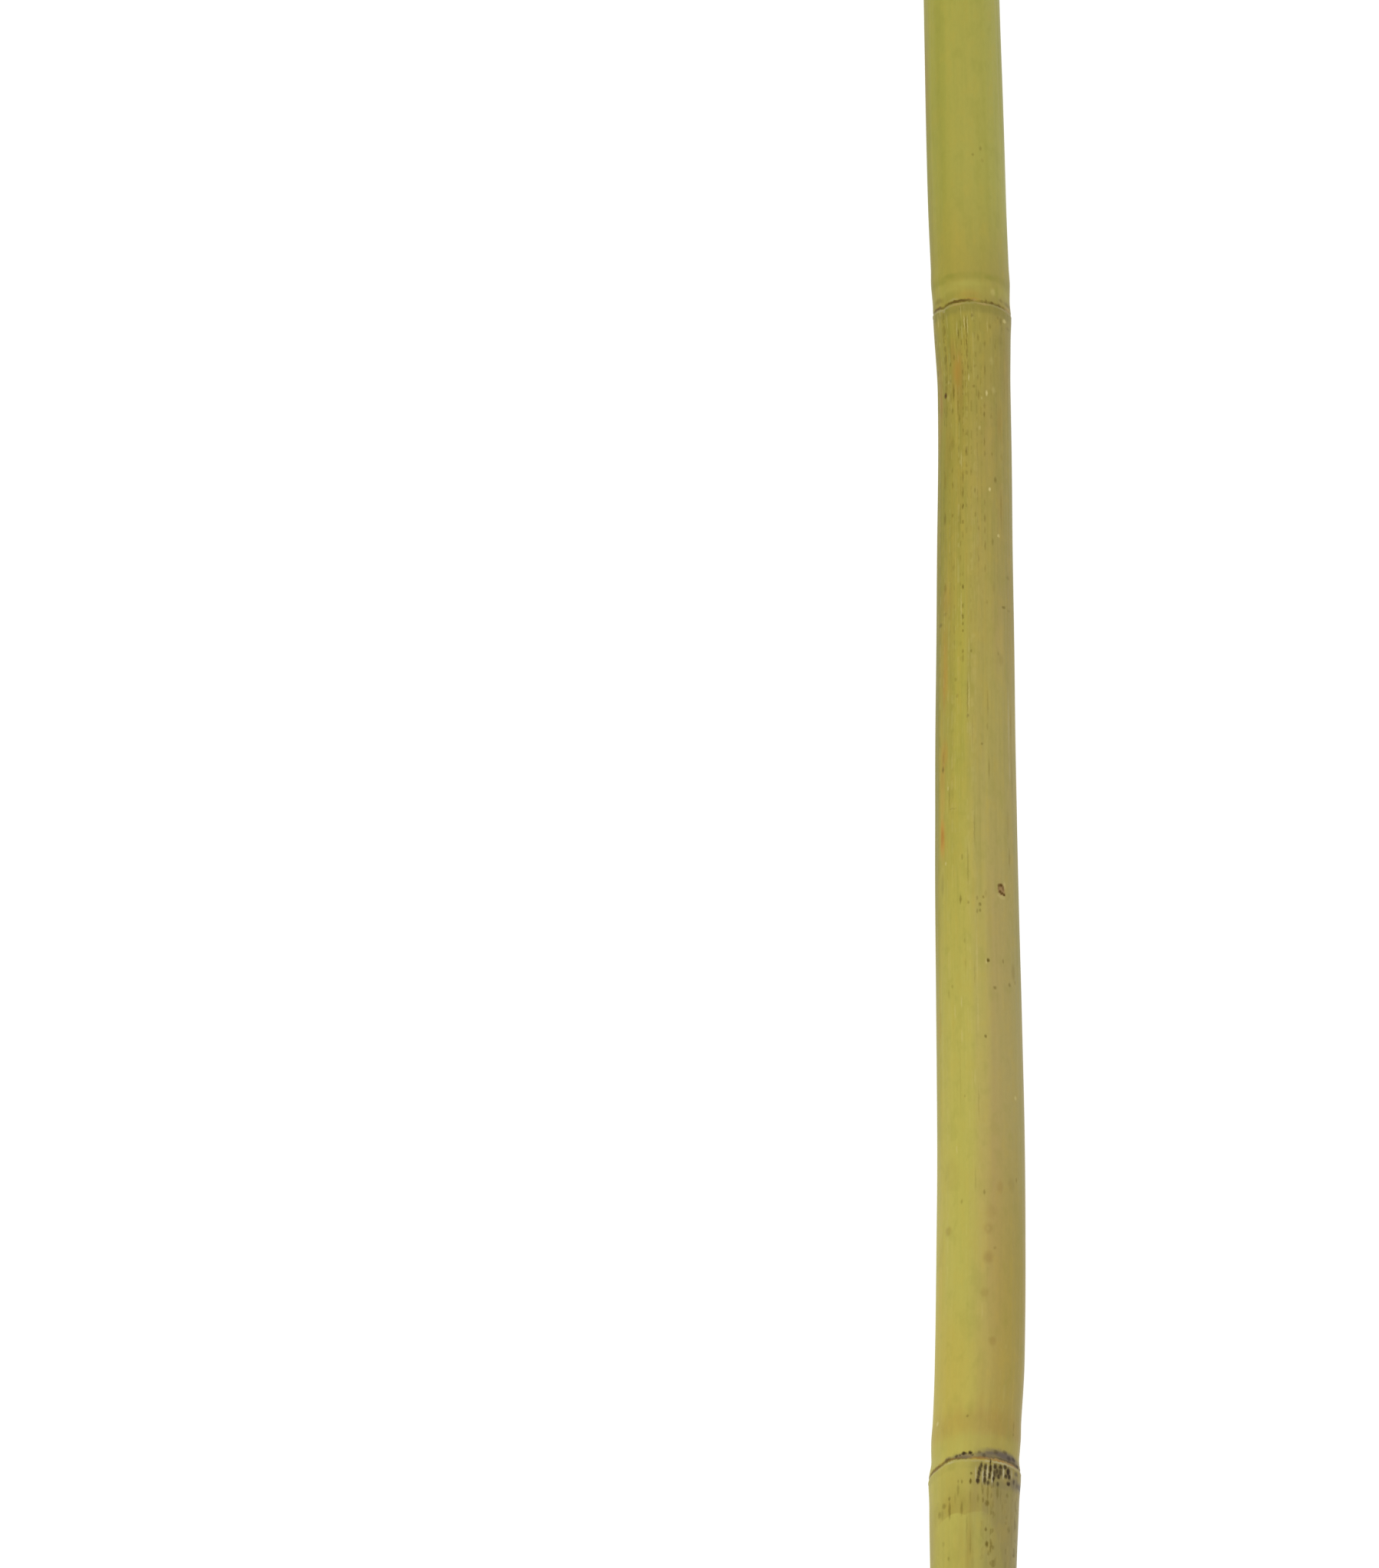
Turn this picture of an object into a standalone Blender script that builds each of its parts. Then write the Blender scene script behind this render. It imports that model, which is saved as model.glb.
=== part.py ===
"""Bamboo cane: a cut length of dried culm with two nodes, lying on its side.

The cane runs along Y, with its butt end at -Y and its tip end at +Y, on a floor
at z = 0. Stations are distances along the cane from the butt end. Angles round
the cane start at its upper side (+Z) and grow towards +X.
"""

import math

import bmesh
import bpy

MM = 0.001

# Length of the cut piece, and the station of the sheath scar at each node
LENGTH = 400 * MM
LOWER_NODE = 101.1 * MM
UPPER_NODE = 272.2 * MM

# Outer diameter at chosen stations: each internode tapers, then flares to its node
DIAMETERS = (
    (0 * MM, 12.80 * MM),
    (40 * MM, 12.45 * MM),
    (84 * MM, 11.78 * MM),
    (97 * MM, 12.35 * MM),
    (106 * MM, 12.20 * MM),
    (117 * MM, 12.46 * MM),
    (145 * MM, 12.32 * MM),
    (175 * MM, 12.03 * MM),
    (200 * MM, 11.62 * MM),
    (230 * MM, 11.06 * MM),
    (260 * MM, 10.68 * MM),
    (269 * MM, 11.24 * MM),
    (279 * MM, 11.50 * MM),
    (295 * MM, 11.62 * MM),
    (320 * MM, 11.40 * MM),
    (360 * MM, 11.05 * MM),
    (400 * MM, 10.70 * MM),
)

# Sideways wander of the axis in plan, with a slight kink at each node
SIDEWAYS = (
    (0 * MM, -1.57 * MM),
    (50 * MM, -1.07 * MM),
    (90 * MM, -0.27 * MM),
    (103 * MM, 0.20 * MM),
    (116 * MM, 0.98 * MM),
    (145 * MM, 1.61 * MM),
    (190 * MM, 1.61 * MM),
    (237 * MM, 2.11 * MM),
    (260 * MM, 2.35 * MM),
    (273 * MM, 2.11 * MM),
    (290 * MM, 1.76 * MM),
    (322 * MM, 1.41 * MM),
    (400 * MM, 0.93 * MM),
)

# Height of the axis over the floor, low over the two stretches that touch it
HEIGHTS = (
    (0 * MM, 6.58 * MM),
    (60 * MM, 6.26 * MM),
    (105 * MM, 6.08 * MM),
    (130 * MM, 6.06 * MM),
    (165 * MM, 6.18 * MM),
    (205 * MM, 6.12 * MM),
    (250 * MM, 5.84 * MM),
    (284 * MM, 5.64 * MM),
    (306 * MM, 5.64 * MM),
    (345 * MM, 5.74 * MM),
    (400 * MM, 5.66 * MM),
)

# Nodes: the lip under the sheath scar, the step at the scar and the ridge above it
LIP_BELOW_SCAR = 1.2 * MM
LIP_SPREAD = 2.0 * MM
STEP_ABOVE_SCAR = 1.1 * MM
STEP_SPREAD = 1.2 * MM
RIDGE_ABOVE_SCAR = 4.6 * MM
RIDGE_SPREAD = 1.5 * MM
RIDGE_HEIGHT = 0.08 * MM
NODES = (
    {
        "station": LOWER_NODE,
        "lip": 0.19 * MM,
        "lip_bias": 0.0,
        "step": 0.13 * MM,
        "lean": 1.1 * MM,
        "bud_angle": math.radians(138),
        "groove_length": 95 * MM,
    },
    {
        "station": UPPER_NODE,
        "lip": 0.08 * MM,
        "lip_bias": 0.07 * MM,
        "step": 0.05 * MM,
        "lean": 0.0,
        "bud_angle": math.radians(-138),
        "groove_length": 80 * MM,
    },
)
LEAN_SPREAD = 12 * MM

# Trimmed bud over each scar, and the shallow groove that runs up from it
BUD_ABOVE_SCAR = 3.6 * MM
BUD_HALF_WIDTH = 2.3 * MM
BUD_HALF_HEIGHT = 3.3 * MM
BUD_DOME = 1.0 * MM
BUD_TRIMMED_TO = 0.60 * MM
GROOVE_DEPTH = 0.45 * MM
GROOVE_HALF_WIDTH = 2.3 * MM
GROOVE_STARTS = 4.0 * MM
GROOVE_FULL_AT = 9.0 * MM

# Saw-cut ends and the hollow that each end opens
WALL_AT_BUTT = 2.2 * MM
WALL_AT_TIP = 1.9 * MM
DIAPHRAGM_HALF_THICKNESS = 1.2 * MM
HOLLOW_END_HEIGHT = 3.0 * MM
EDGE_CHAMFER = 0.25 * MM

# Mesh: sides round the cane, and the spacing of rings along it
SIDES = 36
INTERNODE_SPACING = 8 * MM
NODE_SPACING = 0.9 * MM
NODE_REACH_BELOW = 10 * MM
NODE_REACH_ABOVE = 9 * MM
HOLLOW_SPACING = 14 * MM
HOLLOW_END_RINGS = 4

CULM_COLOUR = (0.39, 0.33, 0.085, 1.0)
CULM_ROUGHNESS = 0.5


def clear_scene():
    for item in list(bpy.data.objects):
        bpy.data.objects.remove(item, do_unlink=True)


def smooth_through(points, station):
    """Value of the smooth curve through (station, value) points, by cubic pieces.

    The slope at a point is that of the line between its two neighbours.
    """
    last = len(points) - 1
    start = max(i for i in range(last) if i == 0 or points[i][0] <= station)
    s0, v0 = points[start]
    s1, v1 = points[start + 1]
    before = points[max(start - 1, 0)]
    after = points[min(start + 2, last)]
    slope0 = (v1 - before[1]) / (s1 - before[0])
    slope1 = (after[1] - v0) / (after[0] - s0)
    span = s1 - s0
    t = (station - s0) / span
    return (
        v0 * (2 * t**3 - 3 * t**2 + 1)
        + slope0 * span * (t**3 - 2 * t**2 + t)
        + v1 * (3 * t**2 - 2 * t**3)
        + slope1 * span * (t**3 - t**2)
    )


def smooth_step(low, high, value):
    t = min(max((value - low) / (high - low), 0.0), 1.0)
    return t * t * (3 - 2 * t)


def bell(distance, spread):
    return math.exp(-((distance / spread) ** 2))


def angle_between(a, b):
    return (a - b + math.pi) % (2 * math.pi) - math.pi


def node_relief(node, station, angle, radius):
    """Height that a node adds to the plain culm: lip, step, ridge, bud and groove."""
    above = station - node["station"]
    lip = node["lip"] + node["lip_bias"] * math.sin(angle)
    relief = lip * bell(above + LIP_BELOW_SCAR, LIP_SPREAD)
    relief -= node["step"] * bell(above - STEP_ABOVE_SCAR, STEP_SPREAD)
    relief += RIDGE_HEIGHT * bell(above - RIDGE_ABOVE_SCAR, RIDGE_SPREAD)

    aside = radius * angle_between(angle, node["bud_angle"])
    across = aside / BUD_HALF_WIDTH
    along = (above - BUD_ABOVE_SCAR) / BUD_HALF_HEIGHT
    dome = BUD_DOME * max(1 - across**2 - along**2, 0.0)
    relief += min(dome, BUD_TRIMMED_TO)

    deepens = smooth_step(GROOVE_STARTS, GROOVE_FULL_AT, above)
    fades = 1 - smooth_step(GROOVE_FULL_AT, node["groove_length"], above)
    relief -= GROOVE_DEPTH * deepens * fades * bell(aside, GROOVE_HALF_WIDTH)
    return relief


def outer_radius(station, angle):
    plain = smooth_through(DIAMETERS, station) / 2
    return plain + sum(node_relief(node, station, angle, plain) for node in NODES)


def ring_lean(station):
    """How far the ring's upper side stands towards the tip of its axis point."""
    return sum(node["lean"] * bell(station - node["station"], LEAN_SPREAD) for node in NODES)


def outer_point(station, angle, inset=0.0):
    """Point on the outside of the culm, pressed flat where it meets the floor."""
    radius = outer_radius(station, angle) - inset
    x = smooth_through(SIDEWAYS, station) + radius * math.sin(angle)
    y = station - LENGTH / 2 + ring_lean(station) * math.cos(angle)
    z = smooth_through(HEIGHTS, station) + radius * math.cos(angle)
    return (x, y, max(z, 0.0))


def hollow_point(station, angle, shrink=1.0):
    """Point on the wall of the hollow; shrink closes the hollow towards its end."""
    wall = WALL_AT_BUTT + (WALL_AT_TIP - WALL_AT_BUTT) * station / LENGTH
    radius = shrink * (smooth_through(DIAMETERS, station) / 2 - wall)
    x = smooth_through(SIDEWAYS, station) + radius * math.sin(angle)
    z = smooth_through(HEIGHTS, station) + radius * math.cos(angle)
    return (x, station - LENGTH / 2, z)


def evenly(start, stop, spacing):
    """Stations from start up to but without stop, about one spacing apart."""
    count = max(round((stop - start) / spacing), 1)
    return [start + (stop - start) * i / count for i in range(count)]


def outer_stations():
    """Ring stations along the outside, close together over the nodes."""
    stations = []
    start = EDGE_CHAMFER
    for node in NODES:
        low = node["station"] - NODE_REACH_BELOW
        high = node["station"] + NODE_REACH_ABOVE
        stations += evenly(start, low, INTERNODE_SPACING)
        stations += evenly(low, high, NODE_SPACING)
        start = high
    stations += evenly(start, LENGTH - EDGE_CHAMFER, INTERNODE_SPACING)
    return stations + [LENGTH - EDGE_CHAMFER]


def hollow_rings(mouth, end):
    """Rings of one hollow as (station, shrink), from its mouth to its domed end."""
    inward = math.copysign(1.0, end - mouth)
    shoulder = end - inward * HOLLOW_END_HEIGHT
    count = round(abs(shoulder - mouth) / HOLLOW_SPACING)
    rings = [(mouth + (shoulder - mouth) * i / count, 1.0) for i in range(count + 1)]
    for i in range(1, HOLLOW_END_RINGS):
        turn = math.pi / 2 * i / HOLLOW_END_RINGS
        rings.append((shoulder + inward * HOLLOW_END_HEIGHT * math.sin(turn), math.cos(turn)))
    return rings


def add_ring(bm, point_at):
    angles = [2 * math.pi * i / SIDES for i in range(SIDES)]
    return [bm.verts.new(point_at(angle)) for angle in angles]


def join_rings(bm, first, second):
    for i in range(SIDES):
        after = (i + 1) % SIDES
        bm.faces.new((first[i], first[after], second[after], second[i]))


def close_with_pole(bm, ring, pole):
    for i in range(SIDES):
        bm.faces.new((ring[i], ring[(i + 1) % SIDES], pole))


def culm_mesh():
    """One closed skin: up the butt hollow, round its rim, along the outside and back in."""
    butt_end = LOWER_NODE - DIAPHRAGM_HALF_THICKNESS
    tip_end = UPPER_NODE + DIAPHRAGM_HALF_THICKNESS
    bm = bmesh.new()
    first_pole = bm.verts.new(hollow_point(butt_end, 0.0, 0.0))
    rings = []
    for station, shrink in reversed(hollow_rings(0.0, butt_end)):
        rings.append(add_ring(bm, lambda a, s=station, k=shrink: hollow_point(s, a, k)))
    rings.append(add_ring(bm, lambda a: outer_point(0.0, a, EDGE_CHAMFER)))
    for station in outer_stations():
        rings.append(add_ring(bm, lambda a, s=station: outer_point(s, a)))
    rings.append(add_ring(bm, lambda a: outer_point(LENGTH, a, EDGE_CHAMFER)))
    for station, shrink in hollow_rings(LENGTH, tip_end):
        rings.append(add_ring(bm, lambda a, s=station, k=shrink: hollow_point(s, a, k)))
    last_pole = bm.verts.new(hollow_point(tip_end, 0.0, 0.0))

    close_with_pole(bm, rings[0], first_pole)
    for first, second in zip(rings, rings[1:]):
        join_rings(bm, first, second)
    close_with_pole(bm, rings[-1], last_pole)
    bmesh.ops.recalc_face_normals(bm, faces=bm.faces)
    mesh = bpy.data.meshes.new("cane")
    bm.to_mesh(mesh)
    bm.free()
    return mesh


def culm_material():
    material = bpy.data.materials.new("dried bamboo skin")
    material.use_nodes = True
    shader = material.node_tree.nodes["Principled BSDF"]
    shader.inputs["Base Color"].default_value = CULM_COLOUR
    shader.inputs["Roughness"].default_value = CULM_ROUGHNESS
    shader.inputs["Metallic"].default_value = 0.0
    return material


def build_cane():
    mesh = culm_mesh()
    mesh.materials.append(culm_material())
    mesh.shade_smooth()
    mesh.set_sharp_from_angle(angle=math.radians(35))
    cane = bpy.data.objects.new("cane", mesh)
    bpy.context.scene.collection.objects.link(cane)
    return cane


def main():
    clear_scene()
    build_cane()


main()
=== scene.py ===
"""Bamboo cane: the looks of a cut length of dried culm that lies on its side.

The cane runs along Y, with its butt end at -Y. A station is the distance along the cane
from the butt end. An angle round the cane starts at its upper side (+Z) and grows towards
+X. Shapes are worked out in metres. The skin's marks are placed by angle in degrees and by
station in millimetres.
"""
import math
import random

import bpy
import numpy as np
from bpy.props import FloatProperty, FloatVectorProperty, IntProperty, PointerProperty
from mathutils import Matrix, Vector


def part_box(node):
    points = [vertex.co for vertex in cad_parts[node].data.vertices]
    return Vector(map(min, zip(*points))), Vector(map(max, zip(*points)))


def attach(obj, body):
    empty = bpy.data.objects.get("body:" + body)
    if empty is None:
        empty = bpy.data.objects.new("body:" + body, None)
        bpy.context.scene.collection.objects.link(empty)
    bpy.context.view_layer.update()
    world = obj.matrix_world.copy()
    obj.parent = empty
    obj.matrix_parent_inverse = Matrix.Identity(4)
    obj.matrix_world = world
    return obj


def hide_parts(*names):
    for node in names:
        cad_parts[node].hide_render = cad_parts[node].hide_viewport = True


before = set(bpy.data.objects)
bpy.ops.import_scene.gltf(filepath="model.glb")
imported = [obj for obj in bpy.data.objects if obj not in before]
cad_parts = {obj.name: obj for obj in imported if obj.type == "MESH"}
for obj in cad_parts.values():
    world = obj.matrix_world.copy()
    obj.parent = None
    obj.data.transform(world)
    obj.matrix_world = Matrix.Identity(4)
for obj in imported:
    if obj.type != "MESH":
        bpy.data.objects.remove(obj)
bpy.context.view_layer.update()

bl_info = {
    "name": "Bamboo Cane",
    "version": (1, 0, 0),
    "blender": (4, 5, 0),
    "location": "View3D > Sidebar > Bamboo Cane",
    "description": "Builds a dried bamboo cane with its nodes, sawn ends and weathered skin",
    "category": "Add Mesh",
}

MM = 0.001
CANE_LOW, CANE_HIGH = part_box("cane")
LENGTH = CANE_HIGH.y - CANE_LOW.y
LENGTH_MM = LENGTH / MM

# Outer diameter, sideways wander and height of the axis at chosen stations, in mm
DIAMETERS = MM * np.array((
    (0, 12.80), (40, 12.45), (84, 11.78), (97, 12.35), (106, 12.20), (117, 12.46),
    (145, 12.32), (175, 12.03), (200, 11.62), (230, 11.06), (260, 10.68), (269, 11.24),
    (279, 11.50), (295, 11.62), (320, 11.40), (360, 11.05), (400, 10.70),
))
SIDEWAYS = MM * np.array((
    (0, -1.57), (50, -1.07), (90, -0.27), (103, 0.20), (116, 0.98), (145, 1.61), (190, 1.61),
    (237, 2.11), (260, 2.35), (273, 2.11), (290, 1.76), (322, 1.41), (400, 0.93),
))
HEIGHTS = MM * np.array((
    (0, 6.58), (60, 6.26), (105, 6.08), (130, 6.06), (165, 6.18), (205, 6.12), (250, 5.84),
    (284, 5.64), (306, 5.64), (345, 5.74), (400, 5.66),
))

MEAN_RADIUS = DIAMETERS[:, 1].mean() / 2

# The sheath scar's station at angles round the cane, in degrees and mm
LOWER_SCAR = np.array((
    (-180, 100.6), (-130, 100.3), (-90, 100.05), (-78, 100.15), (-65, 100.4), (-52, 100.65),
    (-46, 100.85), (-41, 101.05), (-30, 101.15), (0, 101.05), (20, 101.0), (35, 100.95),
    (50, 100.85), (62, 100.75), (90, 100.8), (130, 100.5), (180, 100.6),
))
UPPER_SCAR = np.array((
    (-180, 272.0), (-130, 271.9), (-90, 272.0), (-78, 271.85), (-62, 271.8), (-55, 271.75),
    (-49, 271.6), (-42, 271.85), (-30, 272.0), (0, 272.05), (10, 271.95), (30, 271.85),
    (45, 271.7), (60, 271.55), (75, 271.6), (100, 271.8), (140, 272.0), (180, 272.0),
))
NODES = (
    {
        "station": 101.1 * MM, "scar": LOWER_SCAR, "lip": 0.19 * MM, "lip_bias": 0.0,
        "step": 0.13 * MM, "lean": 1.1 * MM, "bud_angle": math.radians(138),
        "groove_length": 95 * MM,
    },
    {
        "station": 272.2 * MM, "scar": UPPER_SCAR, "lip": 0.08 * MM, "lip_bias": 0.07 * MM,
        "step": 0.05 * MM, "lean": 0.0, "bud_angle": math.radians(-138),
        "groove_length": 80 * MM,
    },
)
LEAN_SPREAD = 12 * MM
SCAR_SPREAD = 5 * MM

# Shape of every node: lip, step and ridge, trimmed bud, and the groove over the bud
LIP_BELOW_SCAR, LIP_SPREAD = 1.2 * MM, 2.0 * MM
STEP_ABOVE_SCAR, STEP_SPREAD = 1.1 * MM, 1.2 * MM
RIDGE_ABOVE_SCAR, RIDGE_SPREAD, RIDGE_HEIGHT = 4.6 * MM, 1.5 * MM, 0.08 * MM
BUD_ABOVE_SCAR, BUD_HALF_WIDTH, BUD_HALF_HEIGHT = 3.6 * MM, 2.3 * MM, 3.3 * MM
BUD_DOME, BUD_TRIMMED_TO, BUD_EDGE_ROUND = 1.0 * MM, 0.60 * MM, 0.06 * MM
BUD_LOWEST = -3 * BUD_EDGE_ROUND
BUD_HOLLOW, BUD_HOLLOW_SPREAD = 0.12 * MM, 0.2
BUD_RINGS, BUD_RING_TURNS = 0.03 * MM, 24
GROOVE_HALF_WIDTH, GROOVE_STARTS, GROOVE_FULL_AT = 2.3 * MM, 4.0 * MM, 9.0 * MM
GROOVE_DEPTH = 0.45 * MM

# The crack along each scar: its mean depth and how far waves change it, as shares, and the
# raised edge below it, in shares of its depth and of its half width
CRACK_MEAN, CRACK_UNEVEN = 0.75, 0.25
CRACK_EDGE, CRACK_EDGE_BELOW, CRACK_EDGE_SPREAD = 0.45, 2.6, 1.3

# The hollow at each end, its domed end, and the flaky skin of pith that lines it
DIAPHRAGM_HALF_THICKNESS = 1.2 * MM
HOLLOW_ENDS = (
    NODES[0]["station"] - DIAPHRAGM_HALF_THICKNESS, NODES[1]["station"] + DIAPHRAGM_HALF_THICKNESS,
)
HOLLOW_END_HEIGHT = 3.0 * MM
PITH_WRINKLE, PITH_SMOOTH_MOUTH = 0.05 * MM, 2.0 * MM

# Waves of each surface: how many times each one goes round, and the length they change over
CRACK_WAVES, CRACK_RUN = (3, 5, 8, 13, 21, 34), LENGTH
RIB_WAVES, RIB_RUN = (17, 22, 26, 31, 35, 39, 44, 48, 53, 59), 70 * MM
LUMP_WAVES, LUMP_RUN = (2, 3, 4, 5, 7), 30 * MM
PITH_WAVES, PITH_RUN = (6, 9, 13, 19, 27), 12 * MM

# The saw's marks on an end: how fast they follow one another in X and in Z, and their bend
SAW_PITCH, SAW_IN_X, SAW_IN_Z = 0.8 * MM, 0.9, 0.45
SAW_BEND, SAW_BEND_SIZE = 1.3, 1.7 * MM

# Spacing of the mesh's rings: over a scar, over the rest of a node, and between nodes
SCAR_SPACING, SCAR_REACH = 0.12 * MM, 0.9 * MM
NODE_SPACING, NODE_BELOW, NODE_ABOVE = 0.3 * MM, 5.0 * MM, 8.0 * MM
CALM_SPACING, HOLLOW_SPACING = 1.2 * MM, 3.0 * MM
RIM_RINGS, WALL_RINGS, DOME_RINGS = 4, 8, 7

# Faces that meet at more than this angle show an edge
SHARP_FROM = math.radians(60)

SEED = 7


def linear(colour):
    """A screen colour of three numbers up to 255 as the linear colour that a shader takes."""
    share = np.array(colour) / 255
    return np.where(share > 0.04045, ((share + 0.055) / 1.055) ** 2.4, share / 12.92)


# In the studio a white sheet shows at this level, and the skin's gloss adds this much of it
STUDIO_LEVEL = 1.13
GLOSS_LEVEL = 0.009


def seen_as(*colour):
    """Base colour of a surface that shows as this screen colour in the studio's light.

    base = (linear colour - gloss) / studio level, and never less than almost black.
    """
    base = (linear(colour) - GLOSS_LEVEL) / STUDIO_LEVEL
    return tuple(float(part) for part in np.maximum(base, 0.001))


def colour_property(name, description, colour):
    return FloatVectorProperty(
        name=name, description=description, default=seen_as(*colour), min=0, max=1,
        subtype="COLOR",
    )


def length_property(name, description, length):
    return FloatProperty(
        name=name, description=description, default=length, min=0, unit="LENGTH", precision=5,
    )


class CaneSizes(bpy.types.PropertyGroup):
    """Sizes of the finer shapes that the cane's surface carries."""

    sides: IntProperty(
        name="Sides", description="Faces round the cane", default=160, min=24, max=400
    )
    wall_at_butt: length_property("Butt wall", "Wood between hollow and skin", 2.2 * MM)
    wall_at_tip: length_property("Tip wall", "Wood between hollow and skin", 1.9 * MM)
    worn_rim: length_property("Worn rim", "Rounding of the sawn edge", 0.25 * MM)
    scar_depth: length_property("Scar depth", "Depth of the crack at a scar", 0.11 * MM)
    scar_half_width: length_property("Scar width", "Half width of that crack", 0.16 * MM)
    fibre_relief: length_property("Fibre relief", "Height of the skin's ribs", 0.010 * MM)
    lump_relief: length_property("Lump relief", "Height of the slow waves", 0.022 * MM)
    saw_relief: length_property("Saw relief", "Height of the saw's marks", 0.02 * MM)


class CaneColours(bpy.types.PropertyGroup):
    """Colours of the dried skin, its marks and the cut wood."""

    straw: colour_property("Straw", "Bright side near the butt", (181, 171, 86))
    olive_straw: colour_property("Olive straw", "Bright side in the middle", (157, 143, 66))
    leaf: colour_property("Leaf", "Bright side near the tip", (163, 158, 73))
    umber: colour_property("Umber", "Shaded side below the lower node", (147, 134, 83))
    fawn: colour_property("Fawn", "Shaded side above the lower node", (161, 144, 79))
    tan: colour_property("Tan", "Shaded side in the middle", (166, 151, 94))
    drab: colour_property("Drab", "Shaded side below the upper node", (153, 140, 78))
    sage: colour_property("Sage", "Shaded side near the tip", (165, 161, 87))
    olive: colour_property("Olive", "Dark green streaks and bands", (128, 130, 50))
    gold: colour_property("Gold", "Warm yellow streaks and bands", (186, 160, 66))
    lemon: colour_property("Lemon", "Yellow green streaks", (176, 172, 66))
    rust: colour_property("Rust", "Brown stains", (154, 112, 56))
    # Painted shade: the colour laid along both flanks of the cane to darken them
    flank_shade: colour_property("Moss", "Green edge of the shaded flank", (118, 112, 20))
    ember: colour_property("Ember", "Orange stains and scar edges", (190, 118, 36))
    rose: colour_property("Rose", "Pinkish tan stains", (180, 150, 96))
    fresh: colour_property("Fresh", "Light band above a scar", (172, 166, 82))
    shade: colour_property("Shade", "Dark green band below a scar", (118, 113, 58))
    bark: colour_property("Bark", "Brown ticks and dashes", (98, 82, 2))
    scar_line: colour_property("Scar line", "Dark line along a scar", (88, 64, 4))
    russet: colour_property("Russet", "Browned skin over the sheath's print", (120, 82, 4))
    eye_rim: colour_property("Eye rim", "Rim of the oval scar", (88, 64, 0))
    eye_middle: colour_property("Eye middle", "Middle of the oval scar", (150, 119, 80))
    spark: colour_property("Spark", "Bright yellow specks and scratches", (206, 191, 128))
    cream: colour_property("Cream", "Pale lines by the scars", (190, 181, 145))
    mould: colour_property("Mould", "Blackened spots", (50, 36, 0))
    haze: colour_property("Haze", "Grey violet film over mould", (84, 75, 82))
    pith: colour_property("Pith", "Cut wood", (214, 200, 160))
    lining: colour_property("Lining", "Skin of pith in the hollow", (206, 190, 148))


class CaneStudio(bpy.types.PropertyGroup):
    """The plain pale studio that the cane lies in."""

    sky: FloatProperty(
        name="Sky", description="Strength of the even light from all round", default=0.75,
        min=0, max=5,
    )
    lamp: FloatProperty(
        name="Lamp", description="Power of the large soft lamp", default=24.0, min=0,
        max=500, unit="POWER",
    )
    floor: FloatVectorProperty(
        name="Floor", description="Colour of the floor", default=(0.42, 0.42, 0.42), min=0,
        max=1, subtype="COLOR",
    )
    floor_glow: FloatProperty(
        name="Floor glow", description="Light that the floor gives off", default=0.75, min=0,
        max=5,
    )
    lens: FloatProperty(
        name="Lens", description="Focal length of the camera", default=120.4 * MM, min=0,
        unit="LENGTH",
    )


def smooth_through(points, at):
    """Value of the smooth curve through (place, value) points, by cubic pieces.

    The slope at a point is that of the line between its two neighbours.
    """
    place, value = points.T
    last = len(place) - 1
    count = np.arange(last + 1)
    before, after = np.maximum(count - 1, 0), np.minimum(count + 1, last)
    slope = (value[after] - value[before]) / (place[after] - place[before])
    start = np.clip(np.searchsorted(place, at, side="right") - 1, 0, last - 1)
    span = place[start + 1] - place[start]
    t = (at - place[start]) / span
    return (
        value[start] * (2 * t**3 - 3 * t**2 + 1)
        + slope[start] * span * (t**3 - 2 * t**2 + t)
        + value[start + 1] * (3 * t**2 - 2 * t**3)
        + slope[start + 1] * span * (t**3 - t**2)
    )


def smooth_step(low, high, value):
    t = np.clip((value - low) / (high - low), 0, 1)
    return t * t * (3 - 2 * t)


def bell(distance, spread):
    return np.exp(-((distance / spread) ** 2))


def angle_between(a, b):
    return (a - b + math.pi) % (2 * math.pi) - math.pi


def softer_minimum(a, b, rounding):
    """The smaller of two heights, with the corner between them rounded.

    minimum = -rounding x log(exp(-a / rounding) + exp(-b / rounding))
    """
    return -rounding * np.logaddexp(-a / rounding, -b / rounding)


def scar_shift(node, angle):
    """How far the scar stands above the node's own station at an angle."""
    return smooth_through(node["scar"], np.degrees(angle)) * MM - node["station"]


def on_scars(ring, angle):
    """Station of each point of a ring, bent so that one ring runs along each scar.

    station = ring + scar's shift x bell(ring - node)
    """
    shift = sum(
        scar_shift(node, angle) * bell(ring - node["station"], SCAR_SPREAD) for node in NODES
    )
    return ring + shift


def bud_relief(above, aside):
    """A trimmed bud: an oval dome cut off flat, sunk in its middle, with faint rings.

    dome = height x (1 - across^2 - along^2), limited to the height of the cut
    """
    across = aside / BUD_HALF_WIDTH
    along = (above - BUD_ABOVE_SCAR) / BUD_HALF_HEIGHT
    out = across**2 + along**2
    dome = np.maximum(BUD_DOME * (1 - out), BUD_LOWEST)
    cut = BUD_TRIMMED_TO - BUD_HOLLOW * bell(out, BUD_HOLLOW_SPREAD)
    cut = cut + BUD_RINGS * np.cos(BUD_RING_TURNS * np.sqrt(out))
    return np.maximum(softer_minimum(dome, cut, BUD_EDGE_ROUND), 0)


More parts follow.
